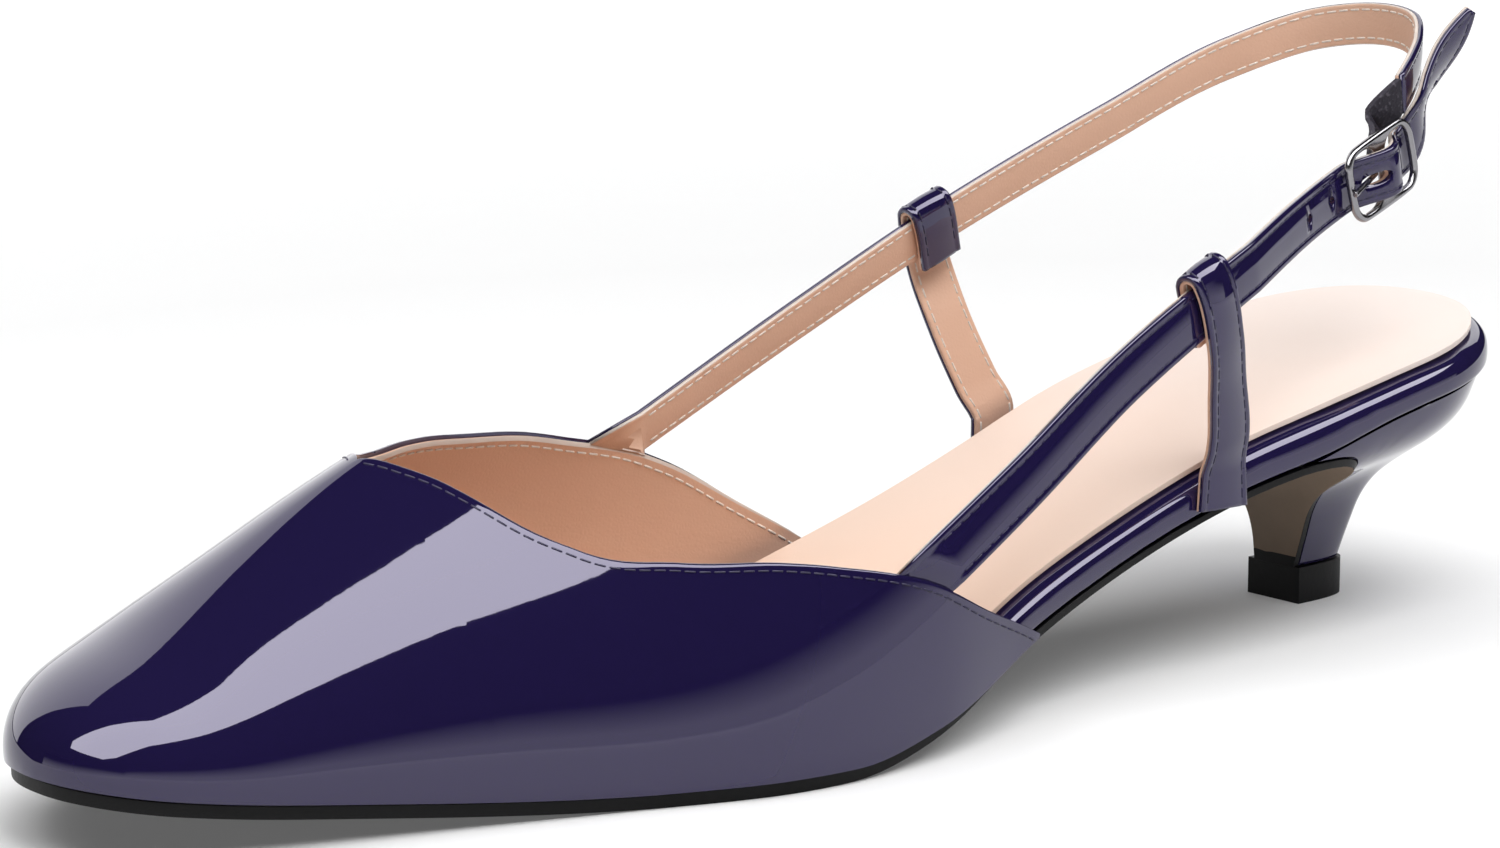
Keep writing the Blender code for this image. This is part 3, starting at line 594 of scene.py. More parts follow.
def sock_leather():
    finish = Finish("peach_sock_leather")
    back = finish.node("ShaderNodeSeparateXYZ", None, {"Vector": finish.place}, output=ALONG_Y)
    paling = back * SOCK_PALING + SOCK_PALE_AT_TIP
    base = finish.ramp(paling, ((0.0, COLOURS["sock"]), (0.9, COLOURS["sock_heel"])))
    cloud = finish.noise(scale=40.0, detail=4.0)
    grain = finish.pores(scale=1700.0)
    wave = finish.noise(scale=85.0, detail=2.0, stretch=(1.0, 0.5, 1.0))
    colour = finish.blend(cloud * 0.2, base, COLOURS["lining"])
    normal = finish.bump(wave, distance=0.00022, strength=0.4)
    normal = finish.bump(grain, distance=0.00004, strength=0.4, normal=normal)
    more = {"Normal": normal, "Specular IOR Level": 0.12}
    return finish.surface(colour, roughness=0.5 + 0.14 * cloud, more=more)


GRAIN_DEPTH = 0.00004
GRAIN_SHADE = 0.75
GRAIN_UNEVEN = 0.12


def plain_finish(name, colour, roughness, grain_scale, more=None):
    """A matt finish with fine grain and a slightly uneven tone."""
    finish = Finish(name)
    cloud = finish.noise(scale=120.0, detail=4.0)
    grain = finish.noise(grain_scale, detail=3.0)
    plain = COLOURS[colour]
    darker = tuple(value * GRAIN_SHADE for value in plain)
    tone = finish.blend(cloud, plain, darker)
    sockets = {"Normal": finish.bump(grain, GRAIN_DEPTH)}
    sockets.update(more or {})
    return finish.surface(tone, roughness + GRAIN_UNEVEN * (cloud - 0.5), sockets)


def gunmetal():
    finish = Finish("polished_gunmetal")
    cloud = finish.noise(scale=260.0, detail=3.0)
    scratch = finish.noise(scale=900.0, detail=2.0, stretch=(1.0, 0.08, 1.0))
    normal = finish.bump(scratch, distance=0.000004)
    more = {"Metallic": 1.0, "Normal": normal}
    return finish.surface(COLOURS["gunmetal"], roughness=0.12 + 0.14 * cloud, more=more)


def woven_elastic():
    """Dark textile with raised threads, and a fine glitter painted on them as sparse lighter flecks of
    painted glint.
    """
    finish = Finish("dark_woven_elastic")
    threads_and_glints = finish.noise(scale=1500.0, detail=1.0)
    # Where the noise is high, the raised threads take the lighter colour of painted glints
    stops = ((0.0, COLOURS["elastic"]), (0.55, COLOURS["elastic"]), (0.75, COLOURS["elastic_painted_glint"]))
    more = {"Normal": finish.bump(threads_and_glints, distance=0.0002), "Specular IOR Level": 0.3}
    return finish.surface(finish.ramp(threads_and_glints, stops), roughness=0.6, more=more)


def thread(colour, roughness):
    finish = Finish(colour)
    twist = finish.noise(scale=2600.0, detail=1.0, stretch=(1.0, 0.4, 1.0))
    plain = COLOURS[colour]
    shade = tuple(value * THREAD_SHADE for value in plain)
    tone = finish.blend(twist, plain, shade)
    return finish.surface(tone, roughness, {"Normal": finish.bump(twist, distance=0.00006)})


# Making


def place_piece(piece, slot, *nodes):
    """A finished piece rides on the shoe and stands for its frame nodes; its slot is not used."""
    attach(piece, "root")
    if nodes:
        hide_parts(*nodes)
    return piece


def pick(piece):
    bpy.ops.object.select_all(action="DESELECT")
    piece.select_set(True)
    bpy.context.view_layer.objects.active = piece


def apply_modifier(piece, name, kind, **settings):
    pick(piece)
    made = piece.modifiers.new(name, kind)
    for key, value in settings.items():
        setattr(made, key, value)
    bpy.ops.object.modifier_apply(modifier=made.name)


def ease_edges(piece, width, segments, angle):
    apply_modifier(
        piece,
        "ease",
        "BEVEL",
        width=width * MM,
        segments=segments,
        limit_method="ANGLE",
        angle_limit=angle,
    )


def new_piece(name, builder, *materials):
    mesh = bpy.data.meshes.new(name)
    builder.to_mesh(mesh)
    builder.free()
    for material in materials:
        mesh.materials.append(material)
    made = bpy.data.objects.new(name, mesh)
    bpy.context.scene.collection.objects.link(made)
    mesh.shade_smooth()
    return made


SHARP = math.radians(38)


def smooth_copy(node, name, material, levels, bevel):
    """Copy of a rigid frame node: merged, made of quads again, edges eased, faces refined."""
    made = bpy.data.objects.new(name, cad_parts[node].data.copy())
    bpy.context.scene.collection.objects.link(made)
    made.data.materials.clear()
    made.data.materials.append(material)
    pick(made)
    bpy.ops.object.mode_set(mode="EDIT")
    bpy.ops.mesh.select_all(action="SELECT")
    bpy.ops.mesh.remove_doubles(threshold=0.000002)
    bpy.ops.mesh.tris_convert_to_quads(face_threshold=math.radians(30), shape_threshold=math.radians(60))
    bpy.ops.object.mode_set(mode="OBJECT")
    if bevel:
        ease_edges(made, bevel, segments=2, angle=SHARP)
    apply_modifier(made, "refine", "SUBSURF", levels=levels, render_levels=levels)
    made.data.shade_smooth()
    return made


# Upper

FRONT_ROWS = 64
FLAP_ROWS = 60
FLAP_CROWDING = 1.5
# Steps round a section, close together where the leather rolls in at the top edge, and that roll
STEPS_ROUND = [k / 30 for k in range(29)] + [0.958, 0.972, 0.984, 0.993, 1.0]
ROLL_IN = (0.0, 0.02, 0.10, 0.38)
ROLL_ROWS = 12
EASINGS = 16
PATENT_LAYER = 0.85
LAYER_GAP = 0.04
LINING_LAYER = WALL - PATENT_LAYER - LAYER_GAP
RIM_EASING = 0.22


def join_rows(builder, row, following):
    for i in range(len(row) - 1):
        builder.faces.new((row[i], row[i + 1], following[i + 1], following[i]))


def ease_rows(rows, times):
    """Rows of points with small unevenness taken out along the shoe; both end rows stay."""
    for _ in range(times):
        inner = [
            [(before + at * 2 + after) / 4 for before, at, after in zip(*three)]
            for three in zip(rows, rows[1:], rows[2:])
        ]
        rows = [rows[0], *inner, rows[-1]]
    return rows


def upper_sheet():
    """The upper's outer face as one open sheet, from the toe to the ends of both flaps, and the
    depth in millimetres by which each vertex near the top edge rolls in."""
    builder = bmesh.new()
    rolls = {}
    front = THROAT_STATION / LENGTH
    rows = []
    for i in range(FRONT_ROWS):
        along = front + (1 - front) * math.sin(math.pi / 2 * i / FRONT_ROWS)
        lateral = [vamp_point(along, LATERAL, turn) for turn in STEPS_ROUND[:-1]]
        medial = [vamp_point(along, MEDIAL, turn) for turn in STEPS_ROUND[:-1]]
        rows.append(lateral + [vamp_point(along, LATERAL, 1.0)] + medial[::-1])
    rows = [[builder.verts.new(point) for point in points] for points in ease_rows(rows, EASINGS)]
    for row, following in zip(rows, rows[1:]):
        join_rows(builder, row, following)
    pole = builder.verts.new(vamp_point(1.0, LATERAL, 0.0))
    for a, b in zip(rows[-1], rows[-1][1:]):
        builder.faces.new((a, b, pole))
    last = len(STEPS_ROUND) - 1
    halves = {LATERAL: rows[0][: last + 1], MEDIAL: rows[0][last:][::-1]}
    for side, end in ((LATERAL, LATERAL_END_STATION), (MEDIAL, MEDIAL_END_STATION)):
        previous = halves[side]
        for step in range(1, FLAP_ROWS + 1):
            station = THROAT_STATION + (end - THROAT_STATION) * (step / FLAP_ROWS) ** FLAP_CROWDING
            top = topline_turn(station, side)
            points = [vamp_point(station / LENGTH, side, top * turn) for turn in STEPS_ROUND]
            row = [builder.verts.new(point) for point in points]
            for vert, roll in zip(row[-len(ROLL_IN) :], ROLL_IN):
                rolls[vert] = roll * min(step / ROLL_ROWS, 1.0)
            join_rows(builder, previous, row)
            previous = row
    bmesh.ops.recalc_face_normals(builder, faces=builder.faces)
    builder.normal_update()
    return builder, rolls


def upper_layer(name, depth, thickness, face, rim):
    """One leather layer of the upper, its outer face a given depth inside the upper's own."""
    builder, rolls = upper_sheet()
    normals = [vert.normal.copy() for vert in builder.verts]
    for vert, normal in zip(builder.verts, normals):
        vert.co -= normal * ((depth + rolls.get(vert, 0.0)) * MM)
    made = new_piece(name, builder, face, rim)
    apply_modifier(
        made,
        "wall",
        "SOLIDIFY",
        thickness=thickness * MM,
        offset=-1.0,
        use_quality_normals=True,
        material_offset_rim=1,
    )
    ease_edges(made, RIM_EASING, segments=3, angle=math.radians(60))
    made.data.shade_smooth()
    return made


def make_upper(finishes):
    patent_face, lining_face = finishes["patent"], finishes["lining"]
    lining_depth = PATENT_LAYER + LAYER_GAP
    patent = upper_layer("upper_patent", 0.0, PATENT_LAYER, patent_face, patent_face)
    lining = upper_layer("upper_lining", lining_depth, LINING_LAYER, lining_face, finishes["cut_edge"])
    place_piece(patent, "navy_patent", "vamp")
    place_piece(lining, "tan_lining")
    return patent, lining


# Strips: straps and tabs

# Sections of the two layers: side of the strip, millimetres in from its edge, millimetres out from
# its middle. The dips near the edges are the lines that the stitches pull in
Corner = namedtuple("Corner", "side inward out")
PATENT_SECTION = (
    Corner(-1, 0.00, -0.08),
    Corner(-1, 0.00, 0.34),
    Corner(-1, 0.10, 0.56),
    Corner(-1, 0.32, 0.68),
    Corner(-1, 0.80, 0.66),
    Corner(-1, 1.10, 0.56),
    Corner(-1, 1.45, 0.68),
    Corner(0, 0.00, 0.76),
    Corner(1, 1.45, 0.68),
    Corner(1, 1.10, 0.56),
    Corner(1, 0.80, 0.66),
    Corner(1, 0.32, 0.68),
    Corner(1, 0.10, 0.56),
    Corner(1, 0.00, 0.34),
    Corner(1, 0.00, -0.08),
)
LINING_SECTION = (
    Corner(1, 0.06, -0.14),
    Corner(1, 0.06, -0.52),
    Corner(1, 0.18, -0.66),
    Corner(1, 0.60, -0.70),
    Corner(1, 1.05, -0.62),
    Corner(1, 1.45, -0.70),
    Corner(0, 0.00, -0.70),
    Corner(-1, 1.45, -0.70),
    Corner(-1, 1.05, -0.62),
    Corner(-1, 0.60, -0.70),
    Corner(-1, 0.18, -0.66),
    Corner(-1, 0.06, -0.52),
    Corner(-1, 0.06, -0.14),
)
PATENT_DIP = PATENT_SECTION[9]
LINING_DIP = LINING_SECTION[4]
# Sides of the lining's section, counted round it, that are its cut edges
CUT_EDGES = (0, 1, 10, 11)
NARROWEST = 0.05
SectionFrame = namedtuple("SectionFrame", "centre across outward width")


def strip_layer(name, frames, section, face, edge=None):
    """A closed strip through section frames; its cut edges may have a finish of their own."""
    builder = bmesh.new()
    rings = []
    for centre, across, outward, width in frames:
        ring = []
        for corner in section:
            reach = corner.side * max(width / 2 - corner.inward, NARROWEST)
            ring.append(builder.verts.new(centre + (across * reach + outward * corner.out) * MM))
        rings.append(ring)
    for ring, following in zip(rings, rings[1:]):
        for i in range(len(section)):
            j = (i + 1) % len(section)
            made = builder.faces.new((ring[i], ring[j], following[j], following[i]))
            made.material_index = 1 if edge and i in CUT_EDGES else 0
    builder.faces.new(rings[0])
    builder.faces.new(rings[-1])
    bmesh.ops.recalc_face_normals(builder, faces=builder.faces)
    return new_piece(name, builder, *([face, edge] if edge else [face]))


STRAP_ROWS = 170
ROOT_TUCK = 0.2


def strap_frames(strap, width, stand_out=lambda distance: 0.0, narrow=lambda distance: 1.0):
    """Section frames along a strap, from the upper's rim to its end."""
    step = 0.3 * MM
    first = ROOT_CLEAR * MM

    def middle(distance):
        point, _, _, outward = strap.frame(distance)
        return point + outward * (stand_out(distance) * MM)

    _, along, _, _ = strap.frame(first)
    upper = strap.root_upper - along * (ROOT_TUCK * MM)
    lower = strap.root_lower - along * (ROOT_TUCK * MM)
    rim_out = (strap.root_upper_out + strap.root_lower_out).normalized()
    rim_width = (upper - lower).length / MM
    frames = [SectionFrame((upper + lower) / 2, (upper - lower).normalized(), rim_out, rim_width)]
    for i in range(STRAP_ROWS + 1):
        distance = first + (strap.length - first) * i / STRAP_ROWS
        along = (middle(distance + step) - middle(distance - step)).normalized()
        _, _, across, _ = strap.frame(distance)
        outward = along.cross(across).normalized() * strap.side
        frames.append(SectionFrame(middle(distance), across, outward, width * narrow(distance)))
    return frames


def make_strip(name, frames, finishes, edge="cut_edge"):
    """Patent layer and lining layer of a strap or a tab, in place of its frame node of that name."""
    patent = strip_layer(name + "_patent", frames, PATENT_SECTION, finishes["patent"])
    lining = strip_layer(name + "_lining", frames, LINING_SECTION, finishes["lining"], finishes[edge])
    place_piece(patent, "navy_patent", name)
    place_piece(lining, "tan_lining")
    return patent, lining


TAB_ROWS = 110


def tab_frames(strap, strap_width, row, station):
    """Section frames of a tab, up from the board's edge, over the strap and down behind it."""
    side = strap.side
    loop, along, across, outward = strap.frame(strap.at_row(row))
    stand = STRAP_THICKNESS / 2 + GAP + TAB_THICKNESS / 2
    half = strap_width / 2
    share = station / LENGTH
    inset = board_inset(share) - GAP - TAB_THICKNESS / 2
    edge = inset_outline(share, side, inset)
    behind = inset_outline(share - EDGE_STEP, side, inset)
    foot = place(edge.x, edge.y, board_underside(station))
    edge_top = place(edge.x, edge.y, board_top(station))
    edge_run = (place(behind.x, behind.y, board_underside(behind.y)) - foot).normalized()
    path = [foot, edge_top]
    below = loop + (outward * stand - across * (half + LOOP_DROP)) * MM
    for sway in SWAY:
        back = sway.lateral if side == LATERAL else sway.medial
        path.append(edge_top.lerp(below, sway.up) + edge_run * (back * TAB_FOOT_WIDTH * MM))
    for i in range(LOOP_SECTIONS + 1):
        turn = math.pi * i / LOOP_SECTIONS
        rise = half + (GAP + TAB_THICKNESS / 2 + LOOP_SLACK) * math.sin(turn)
        path.append(loop + (outward * (stand * math.cos(turn)) + across * rise) * MM)
    path.append(loop + (-outward * stand - across * (half + TAB_END_OVERLAP)) * MM)
    distances = [0.0]
    for before, after in zip(path, path[1:]):
        distances.append(distances[-1] + (after - before).length)
    strap_from = distances[len(SWAY) + 1]
    step = 0.15 * MM
    frames = []
    for i in range(TAB_ROWS + 1):
        distance = distances[-1] * i / TAB_ROWS
        centre = smooth_path(distances, path, distance)
        run = smooth_path(distances, path, distance + step) - smooth_path(distances, path, distance - step)
        run.normalize()
        risen = min(distance / strap_from, 1.0)
        cross = edge_run.lerp(along, risen)
        cross = (cross - run * cross.dot(run)).normalized()
        width = TAB_FOOT_WIDTH + (TAB_LOOP_WIDTH - TAB_FOOT_WIDTH) * min(risen * TAB_TAPER, 1.0)
        frames.append(SectionFrame(centre, cross, cross.cross(run).normalized() * side, width))
    return frames


# Stitches

Thread = namedtuple("Thread", "length gap width height")
OUTER_THREAD = Thread(1.55, 0.45, 0.34, 0.14)
LINING_THREAD = Thread(1.6, 0.45, 0.36, 0.18)
THREAD_SIDES = 6
THREAD_ROUNDING = 0.16
# Section frames of a strip left without stitches at its start and at its end
SEAM_FROM = 2
SEAM_SHORT = 3


def model_stitch(thread):
    """One stitch, a short rounded length of thread along X, as a mesh of its own."""
    bpy.ops.object.select_all(action="DESELECT")
    lying = (0.0, math.pi / 2, 0.0)
    bpy.ops.mesh.primitive_cylinder_add(vertices=THREAD_SIDES, radius=0.5, depth=1.0, rotation=lying)
    stitch = bpy.context.active_object
    bpy.ops.object.transform_apply(location=False, rotation=True, scale=False)
    bpy.ops.object.mode_set(mode="EDIT")
    bpy.ops.mesh.select_all(action="SELECT")
    bpy.ops.transform.resize(value=(thread.length * MM, thread.width * MM, 2 * thread.height * MM))
    bpy.ops.object.mode_set(mode="OBJECT")
    ease_edges(stitch, THREAD_ROUNDING, segments=2, angle=math.radians(70))
    mesh = stitch.data
    bpy.data.objects.remove(stitch, do_unlink=True)
    return mesh


def along_line(points, normals, spacing):
    """Places at equal spacing along a line of points, with the line's direction and the face's normal."""
    found = []
    left = spacing / 2
    for a, b, normal in zip(points, points[1:], normals):
        length = (b - a).length
        while left <= length:
            found.append((a.lerp(b, left / length), (b - a).normalized(), normal))
            left += spacing
        left -= length
    return found


def stitch_lines(name, lines, thread, finish, slot):
    """Rows of stitches along lines of (points, normals), all as one piece."""
    stitch = model_stitch(thread)
    builder = bmesh.new()
    for points, normals in lines:
        for centre, run, normal in along_line(points, normals, (thread.length + thread.gap) * MM):
            across = normal.cross(run).normalized()
            turned = Matrix((run, across, run.cross(across))).transposed().to_4x4()
            placed = Matrix.Translation(centre) @ turned
            start = len(builder.verts)
            builder.from_mesh(stitch)
            builder.verts.ensure_lookup_table()
            bmesh.ops.transform(builder, matrix=placed, verts=builder.verts[start:])
    return place_piece(new_piece(name, builder, finish), slot)


TOPLINE_STEP = 0.6
TOPLINE_BELOW = 0.9
TOPLINE_SEAM = 1.3
LINING_SEAM = 1.6
RAY_START = 2.5


def topline_seam(tree, side, inset, face):
    """Line on a layer's face (1 outside, -1 inside) below the upper's top edge, with its normals."""
    end = LATERAL_END_STATION if side == LATERAL else MEDIAL_END_STATION
    count = int((THROAT_STATION - end) / TOPLINE_STEP)
    stations = [THROAT_STATION - TOPLINE_STEP * i for i in range(count)]
    turns = [topline_turn(station, side) for station in stations]
    edge = [vamp_point(station / LENGTH, side, turn) for station, turn in zip(stations, turns)]
    points, normals = [], []
    for i in range(1, count - 1):
        run = (edge[i + 1] - edge[i - 1]).normalized()
        inner = vamp_point(stations[i] / LENGTH, side, turns[i] * TOPLINE_BELOW)
        down = inner - edge[i]
        down = (down - run * down.dot(run)).normalized()
        outward = down.cross(run).normalized() * side
        start = edge[i] + down * (inset * MM) + outward * (face * RAY_START * MM)
        spot, normal, _, _ = tree.ray_cast(start, -outward * face)
        if spot:
            points.append(spot)
            normals.append(normal)
    return points, normals


def sew_upper(finishes, patent, lining):
    depsgraph = bpy.context.evaluated_depsgraph_get()
    outer = BVHTree.FromObject(patent, depsgraph)
    inner = BVHTree.FromObject(lining, depsgraph)
    seams = [topline_seam(outer, side, TOPLINE_SEAM, 1) for side in (LATERAL, MEDIAL)]
    stitch_lines("upper_outer_stitches", seams, OUTER_THREAD, finishes["navy_thread"], "navy_patent")
    seams = [topline_seam(inner, side, LINING_SEAM, -1) for side in (LATERAL, MEDIAL)]
    stitch_lines("upper_lining_stitches", seams, LINING_THREAD, finishes["pale_thread"], "tan_lining")


def strip_seams(frames, dip):
    """Two lines along a strip, in the dips of its section."""
    seams = []
    for side in (-1, 1):
        points, normals = [], []
        for centre, across, outward, width in frames[SEAM_FROM:-SEAM_SHORT]:
            points.append(centre + (across * (side * (width / 2 - dip.inward)) + outward * dip.out) * MM)
            normals.append(outward * math.copysign(1, dip.out))
        seams.append((points, normals))
    return seams


def sew_strip(name, frames, finishes):
    outer = strip_seams(frames, PATENT_DIP)
    stitch_lines(name + "_outer_stitches", outer, OUTER_THREAD, finishes["navy_thread"], "navy_patent")
    inner = strip_seams(frames, LINING_DIP)
    stitch_lines(name + "_lining_stitches", inner, LINING_THREAD, finishes["pale_thread"], "tan_lining")


# Holes and straps

PUNCH_SIDES = 28
PUNCH_REACH = 3.0


def punch(layers, strap, distance, width, length):
    """Oval hole straight through both layers of a strap."""
    point, along, across, outward = strap.frame(distance)
    depth = 2 * PUNCH_REACH * MM
    bpy.ops.object.select_all(action="DESELECT")
    bpy.ops.mesh.primitive_cylinder_add(vertices=PUNCH_SIDES, radius=0.5 * MM, depth=depth)
    cutter = bpy.context.active_object
    turned = Matrix((along * length, across * width, outward)).transposed().to_4x4()
    cutter.data.transform(Matrix.Translation(point) @ turned)
    for layer in layers:
        apply_modifier(layer, "hole", "BOOLEAN", operation="DIFFERENCE", object=cutter, solver="EXACT")
    bpy.data.objects.remove(cutter, do_unlink=True)


def make_straps(finishes):
    buckle_strap = Strap(BUCKLE_ROUTE, BUCKLE_ROOT, LATERAL)
    heel_strap = Strap(HEEL_ROUTE, HEEL_ROOT, MEDIAL)
    point_start = buckle_strap.length - POINT_LENGTH * MM

    def narrow(distance):
        share = min(max((distance - point_start) / (POINT_LENGTH * MM), 0.0), 1.0)
        return 1 - (1 - POINT_WIDTH / BUCKLE_STRAP_WIDTH) * share**POINT_POWER

    buckle_frames = strap_frames(buckle_strap, BUCKLE_STRAP_WIDTH, weave(buckle_strap), narrow)
    heel_frames = strap_frames(heel_strap, HEEL_STRAP_WIDTH)
    layers = make_strip("buckle_strap", buckle_frames, finishes)
    make_strip("heel_strap", heel_frames, finishes)
    centre = buckle_strap.at_row(BUCKLE_ROW)
    half = (FRAME_LENGTH - WIRE) / 2 * MM
    for i in range(HOLES_SHOWN):
        distance = centre - half - (FIRST_HOLE + i * HOLE_SPACING) * MM
        punch(layers, buckle_strap, distance, HOLE_DIAMETER, HOLE_DIAMETER)
    punch(layers, buckle_strap, centre - PRONG_HOLE_BACK * MM, PRONG_HOLE_WIDTH, PRONG_HOLE_LENGTH)
    sew_strip("buckle_strap", buckle_frames, finishes)
    sew_strip("heel_strap", heel_frames, finishes)
    for name, strap, width, row, station in (
        ("lateral_tab", buckle_strap, BUCKLE_STRAP_WIDTH, BUCKLE_LOOP_ROW, LATERAL_TAB_STATION),
        ("medial_tab", heel_strap, HEEL_STRAP_WIDTH, HEEL_LOOP_ROW, MEDIAL_TAB_STATION),
    ):
        frames = tab_frames(strap, width, row, station)
        make_strip(name, frames, finishes, "lining")
        sew_strip(name, frames, finishes)


# Pieces that keep their frame node's shape

BREAST_TOP = 37.5
BREAST_FOOT = 8.2
BREAST_FRONT = 62.0
BREAST_FACING = -0.5
Rigid = namedtuple("Rigid", "node name finish slot levels bevel")
RIGID = (
    Rigid("outsole", "sole_black", "sole", "black_sole", 1, 0.2),
    Rigid("insole_board", "board_patent", "patent", "navy_patent", 2, None),
    Rigid("sock_lining", "sock_pad", "sock", "tan_lining", 2, 0.3),
    Rigid("heel", "heel_patent", "patent", "navy_patent", 2, 0.25),
    Rigid("heel_tip", "heel_top_piece", "sole", "black_sole", 2, 0.3),
    Rigid("buckle_frame", "buckle_wire", "gunmetal", "gunmetal", 2, None),
    Rigid("buckle_prong", "prong_wire", "gunmetal", "gunmetal", 2, 0.15),
    Rigid("elastic_piece", "elastic_web", "elastic", "dark_elastic", 2, 0.15),
)


def cover_breast(outsole, finish):
    """The sole's flap has a cover of its own on its front face, down the heel's breast."""
    outsole.data.materials.append(finish)
    front = (HEEL_TIP_STATION - BREAST_FRONT) * MM
    for face in outsole.data.polygons:
        on_heel = BREAST_FOOT * MM < face.center.z < BREAST_TOP * MM and face.center.y > front
        if on_heel and face.normal.y < BREAST_FACING:
            face.material_index = 1


def make_rigid(finishes):
    for node, name, finish, slot, levels, bevel in RIGID:
        piece = smooth_copy(node, name, finishes[finish], levels, bevel)
        if node == "outsole":
            cover_breast(piece, finishes["breast"])
        place_piece(piece, slot, node)


# Stage

CAMERA_AZIMUTH = math.radians(50.319)
CAMERA_ELEVATION = math.radians(10.857)
CAMERA_PLACE = (0.46654, -0.50029, 0.15722)
CAMERA_LENS = 105.6
CAMERA_SENSOR = 36.0


def make_camera():
    level = math.cos(CAMERA_ELEVATION)
    sideways = math.sin(CAMERA_AZIMUTH) * level
    forward = math.cos(CAMERA_AZIMUTH) * level
    back = Vector((sideways, -forward, math.sin(CAMERA_ELEVATION)))
    data = bpy.data.cameras.new("camera")
    data.sensor_width = CAMERA_SENSOR
    data.lens = CAMERA_LENS
    data.clip_start, data.clip_end = 0.01, 100.0
    camera = bpy.data.objects.new("camera", data)
    camera.location = CAMERA_PLACE
    camera.rotation_mode = "QUATERNION"
    camera.rotation_quaternion = (-back).to_track_quat("-Z", "Y")
    bpy.context.scene.collection.objects.link(camera)
    bpy.context.scene.camera = camera


# The floor glows more with the distance in metres from the shoe, so that it meets a white ground
FLOOR_GLOW = 0.11
FLOOR_GLOW_FAR = 0.85
FLOOR_GLOW_REACH = (0.35, 1.6)
FLOOR_SIZE = 30.0


def make_floor():
    finish = Finish("pale_floor")
    away = finish.node("ShaderNodeVectorMath", {"operation": "LENGTH"}, {0: finish.place}, output=1)
    near, far = FLOOR_GLOW_REACH
    share = finish.node("ShaderNodeMapRange", None, {"Value": away, "From Min": near, "From Max": far})
    glow = finish.blend(share, (FLOOR_GLOW,) * 3, (FLOOR_GLOW_FAR,) * 3)
    more = {"Specular IOR Level": 0.1, "Emission Color": glow, "Emission Strength": 1.0}
    bpy.ops.mesh.primitive_plane_add(size=FLOOR_SIZE, location=(0.0, 0.0, 0.0))
    floor = bpy.context.active_object
    floor.name = "floor"
    floor.data.materials.append(finish.surface(COLOURS["floor"], roughness=0.9, more=more))


# Cards that the leather mirrors and that light nothing else: corners in metres, radiance, and the
# heights over which a card's light fades out
Card = namedtuple("Card", "name corners radiance fade")
MAIN_CARD_HEIGHT = 0.90
MAIN_CARD_OUTLINE = (
    (0.18, 1.00),
    (0.18, -0.15),
    (-0.05, -0.49),
    (-0.41, -1.13),
    (-0.42, -1.48),
    (0.09, -1.63),
    (0.72, -1.72),
    (0.87, -1.30),
    (0.70, -0.40),
    (0.73, 0.00),
    (0.73, 1.00),
)
MAIN_CARD = tuple((x, y, MAIN_CARD_HEIGHT) for x, y in MAIN_CARD_OUTLINE)
FAR_CARD = ((-2.6, -1.0, 0.05), (-2.6, 2.6, 0.05), (-0.78, 2.6, 1.25), (-0.78, -0.45, 1.25))
NEAR_CARD = ((3.0, -3.0, 0.0), (3.0, 6.0, 0.0), (3.0, 6.0, 0.9), (3.0, -3.0, 0.9))
FRONT_CARD = ((-2.5, -3.0, 0.0), (3.0, -3.0, 0.0), (3.0, -3.0, 0.9), (-2.5, -3.0, 0.9))
CARDS = (
    Card("main_card", MAIN_CARD, 6.9, None),
    Card("far_card", FAR_CARD, 1.6, None),
    Card("near_card", NEAR_CARD, 1.0, (0.2, 0.8)),
    Card("front_card", FRONT_CARD, 1.0, (0.1, 0.6)),
)
BLACK = (0.0, 0.0, 0.0)
WHITE = (1.0, 1.0, 1.0)

SoftBox = namedtuple("SoftBox", "name centre aim size radiance")
SOFT_BOXES = (
    SoftBox("key_box", (-0.50, -0.70, 1.07), (0.0, -0.08, 0.02), 0.9, 0.8),
    SoftBox("side_box", (0.55, -0.15, 0.95), (0.0, -0.10, 0.02), 0.8, 3.9),
    SoftBox("top_box", (0.0, 0.0, 1.8), (0.0, 0.0, 0.0), 3.0, 1.4),
)
WORLD_TONE = (0.8, 0.82, 0.9, 1.0)
WORLD_STRENGTH = 0.02


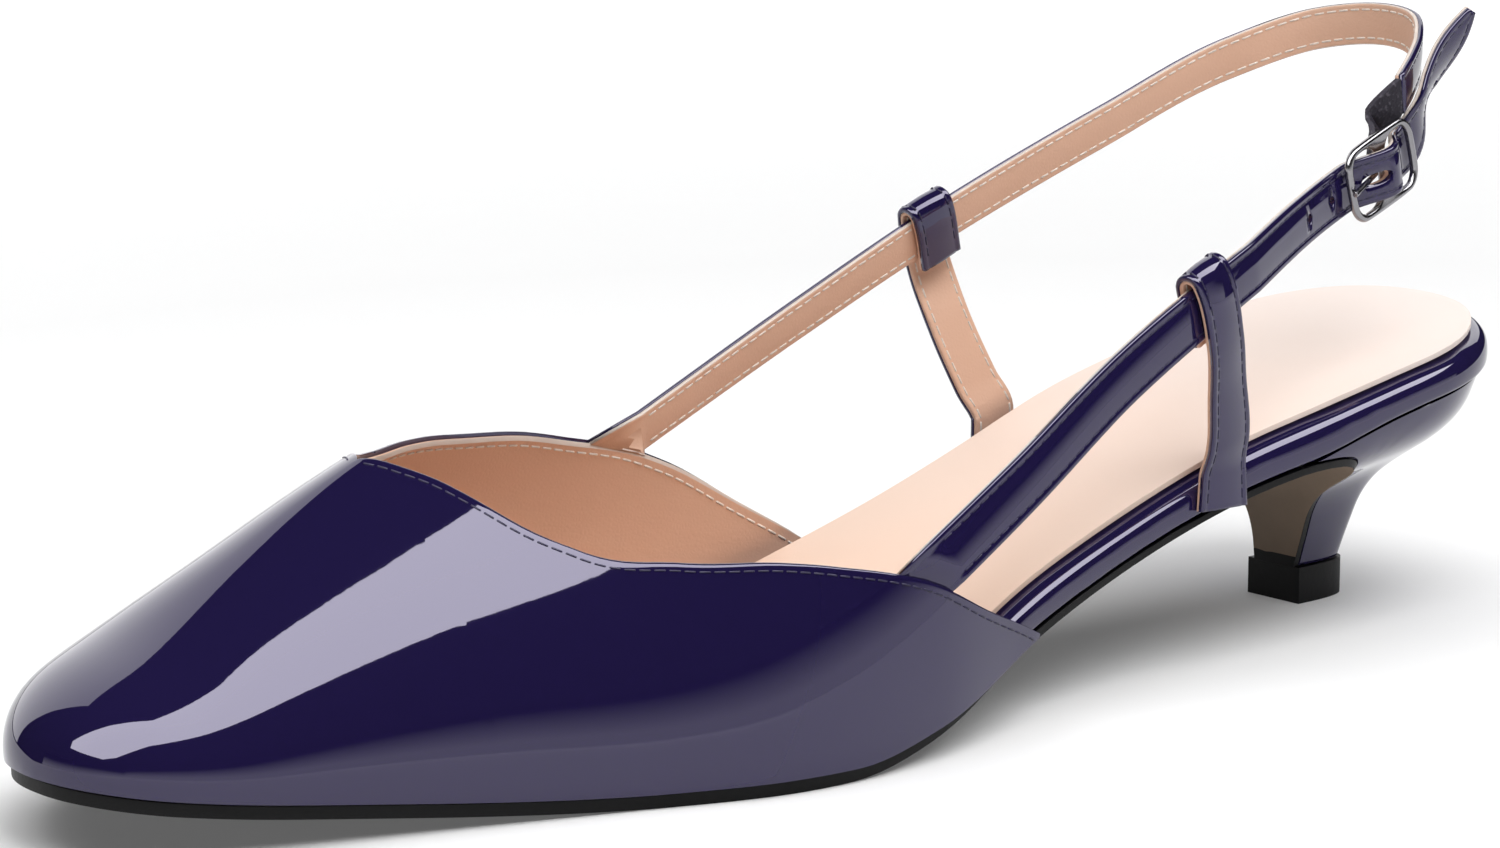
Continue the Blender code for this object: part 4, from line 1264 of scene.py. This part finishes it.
def make_card(card):
    """White card that glows; the camera does not see it."""
    finish = Finish(card.name)
    tone = rgba(WHITE)
    if card.fade:
        height = finish.node("ShaderNodeSeparateXYZ", None, {"Vector": finish.place}, output=ALONG_Z)
        start, end = card.fade
        tone = finish.ramp(height, ((start, WHITE), (end, BLACK)))
    more = {"Emission Color": tone, "Emission Strength": card.radiance}
    material = finish.surface(BLACK, roughness=1.0, more=more)
    mesh = bpy.data.meshes.new(card.name)
    mesh.from_pydata(card.corners, [], [range(len(card.corners))])
    mesh.materials.append(material)
    shown = bpy.data.objects.new(card.name, mesh)
    shown.visible_camera = False
    shown.visible_diffuse = False
    shown.visible_shadow = False
    bpy.context.scene.collection.objects.link(shown)


def make_soft_box(box):
    """Square soft box that lights the scene and is not mirrored in the leather."""
    data = bpy.data.lights.new(box.name, "AREA")
    data.size = box.size
    data.energy = box.radiance * math.pi * box.size**2
    light = bpy.data.objects.new(box.name, data)
    light.location = box.centre
    light.rotation_mode = "QUATERNION"
    light.rotation_quaternion = (Vector(box.aim) - Vector(box.centre)).to_track_quat("-Z", "Y")
    light.visible_camera = False
    light.visible_glossy = False
    bpy.context.scene.collection.objects.link(light)


def make_lights():
    bpy.context.scene.view_settings.view_transform = "Standard"
    world = bpy.data.worlds.new("studio")
    world.use_nodes = True
    background = world.node_tree.nodes["Background"]
    background.inputs["Color"].default_value = WORLD_TONE
    background.inputs["Strength"].default_value = WORLD_STRENGTH
    bpy.context.scene.world = world
    for card in CARDS:
        make_card(card)
    for box in SOFT_BOXES:
        make_soft_box(box)


def main():
    make_camera()
    make_floor()
    make_lights()
    finishes = {
        "patent": patent_leather(),
        "lining": lining_leather(),
        "sock": sock_leather(),
        "cut_edge": plain_finish("cream_cut_edge", "cut_edge", roughness=0.6, grain_scale=1400.0),
        "sole": plain_finish("black_sole_leather", "sole", roughness=0.5, grain_scale=900.0, more=MATT),
        "breast": plain_finish("taupe_breast_leather", "breast", roughness=0.5, grain_scale=700.0, more=MATT),
        "gunmetal": gunmetal(),
        "elastic": woven_elastic(),
        "navy_thread": thread("navy_thread", roughness=0.45),
        "pale_thread": thread("pale_thread", roughness=0.6),
    }
    patent, lining = make_upper(finishes)
    sew_upper(finishes, patent, lining)
    make_straps(finishes)
    make_rigid(finishes)


main()
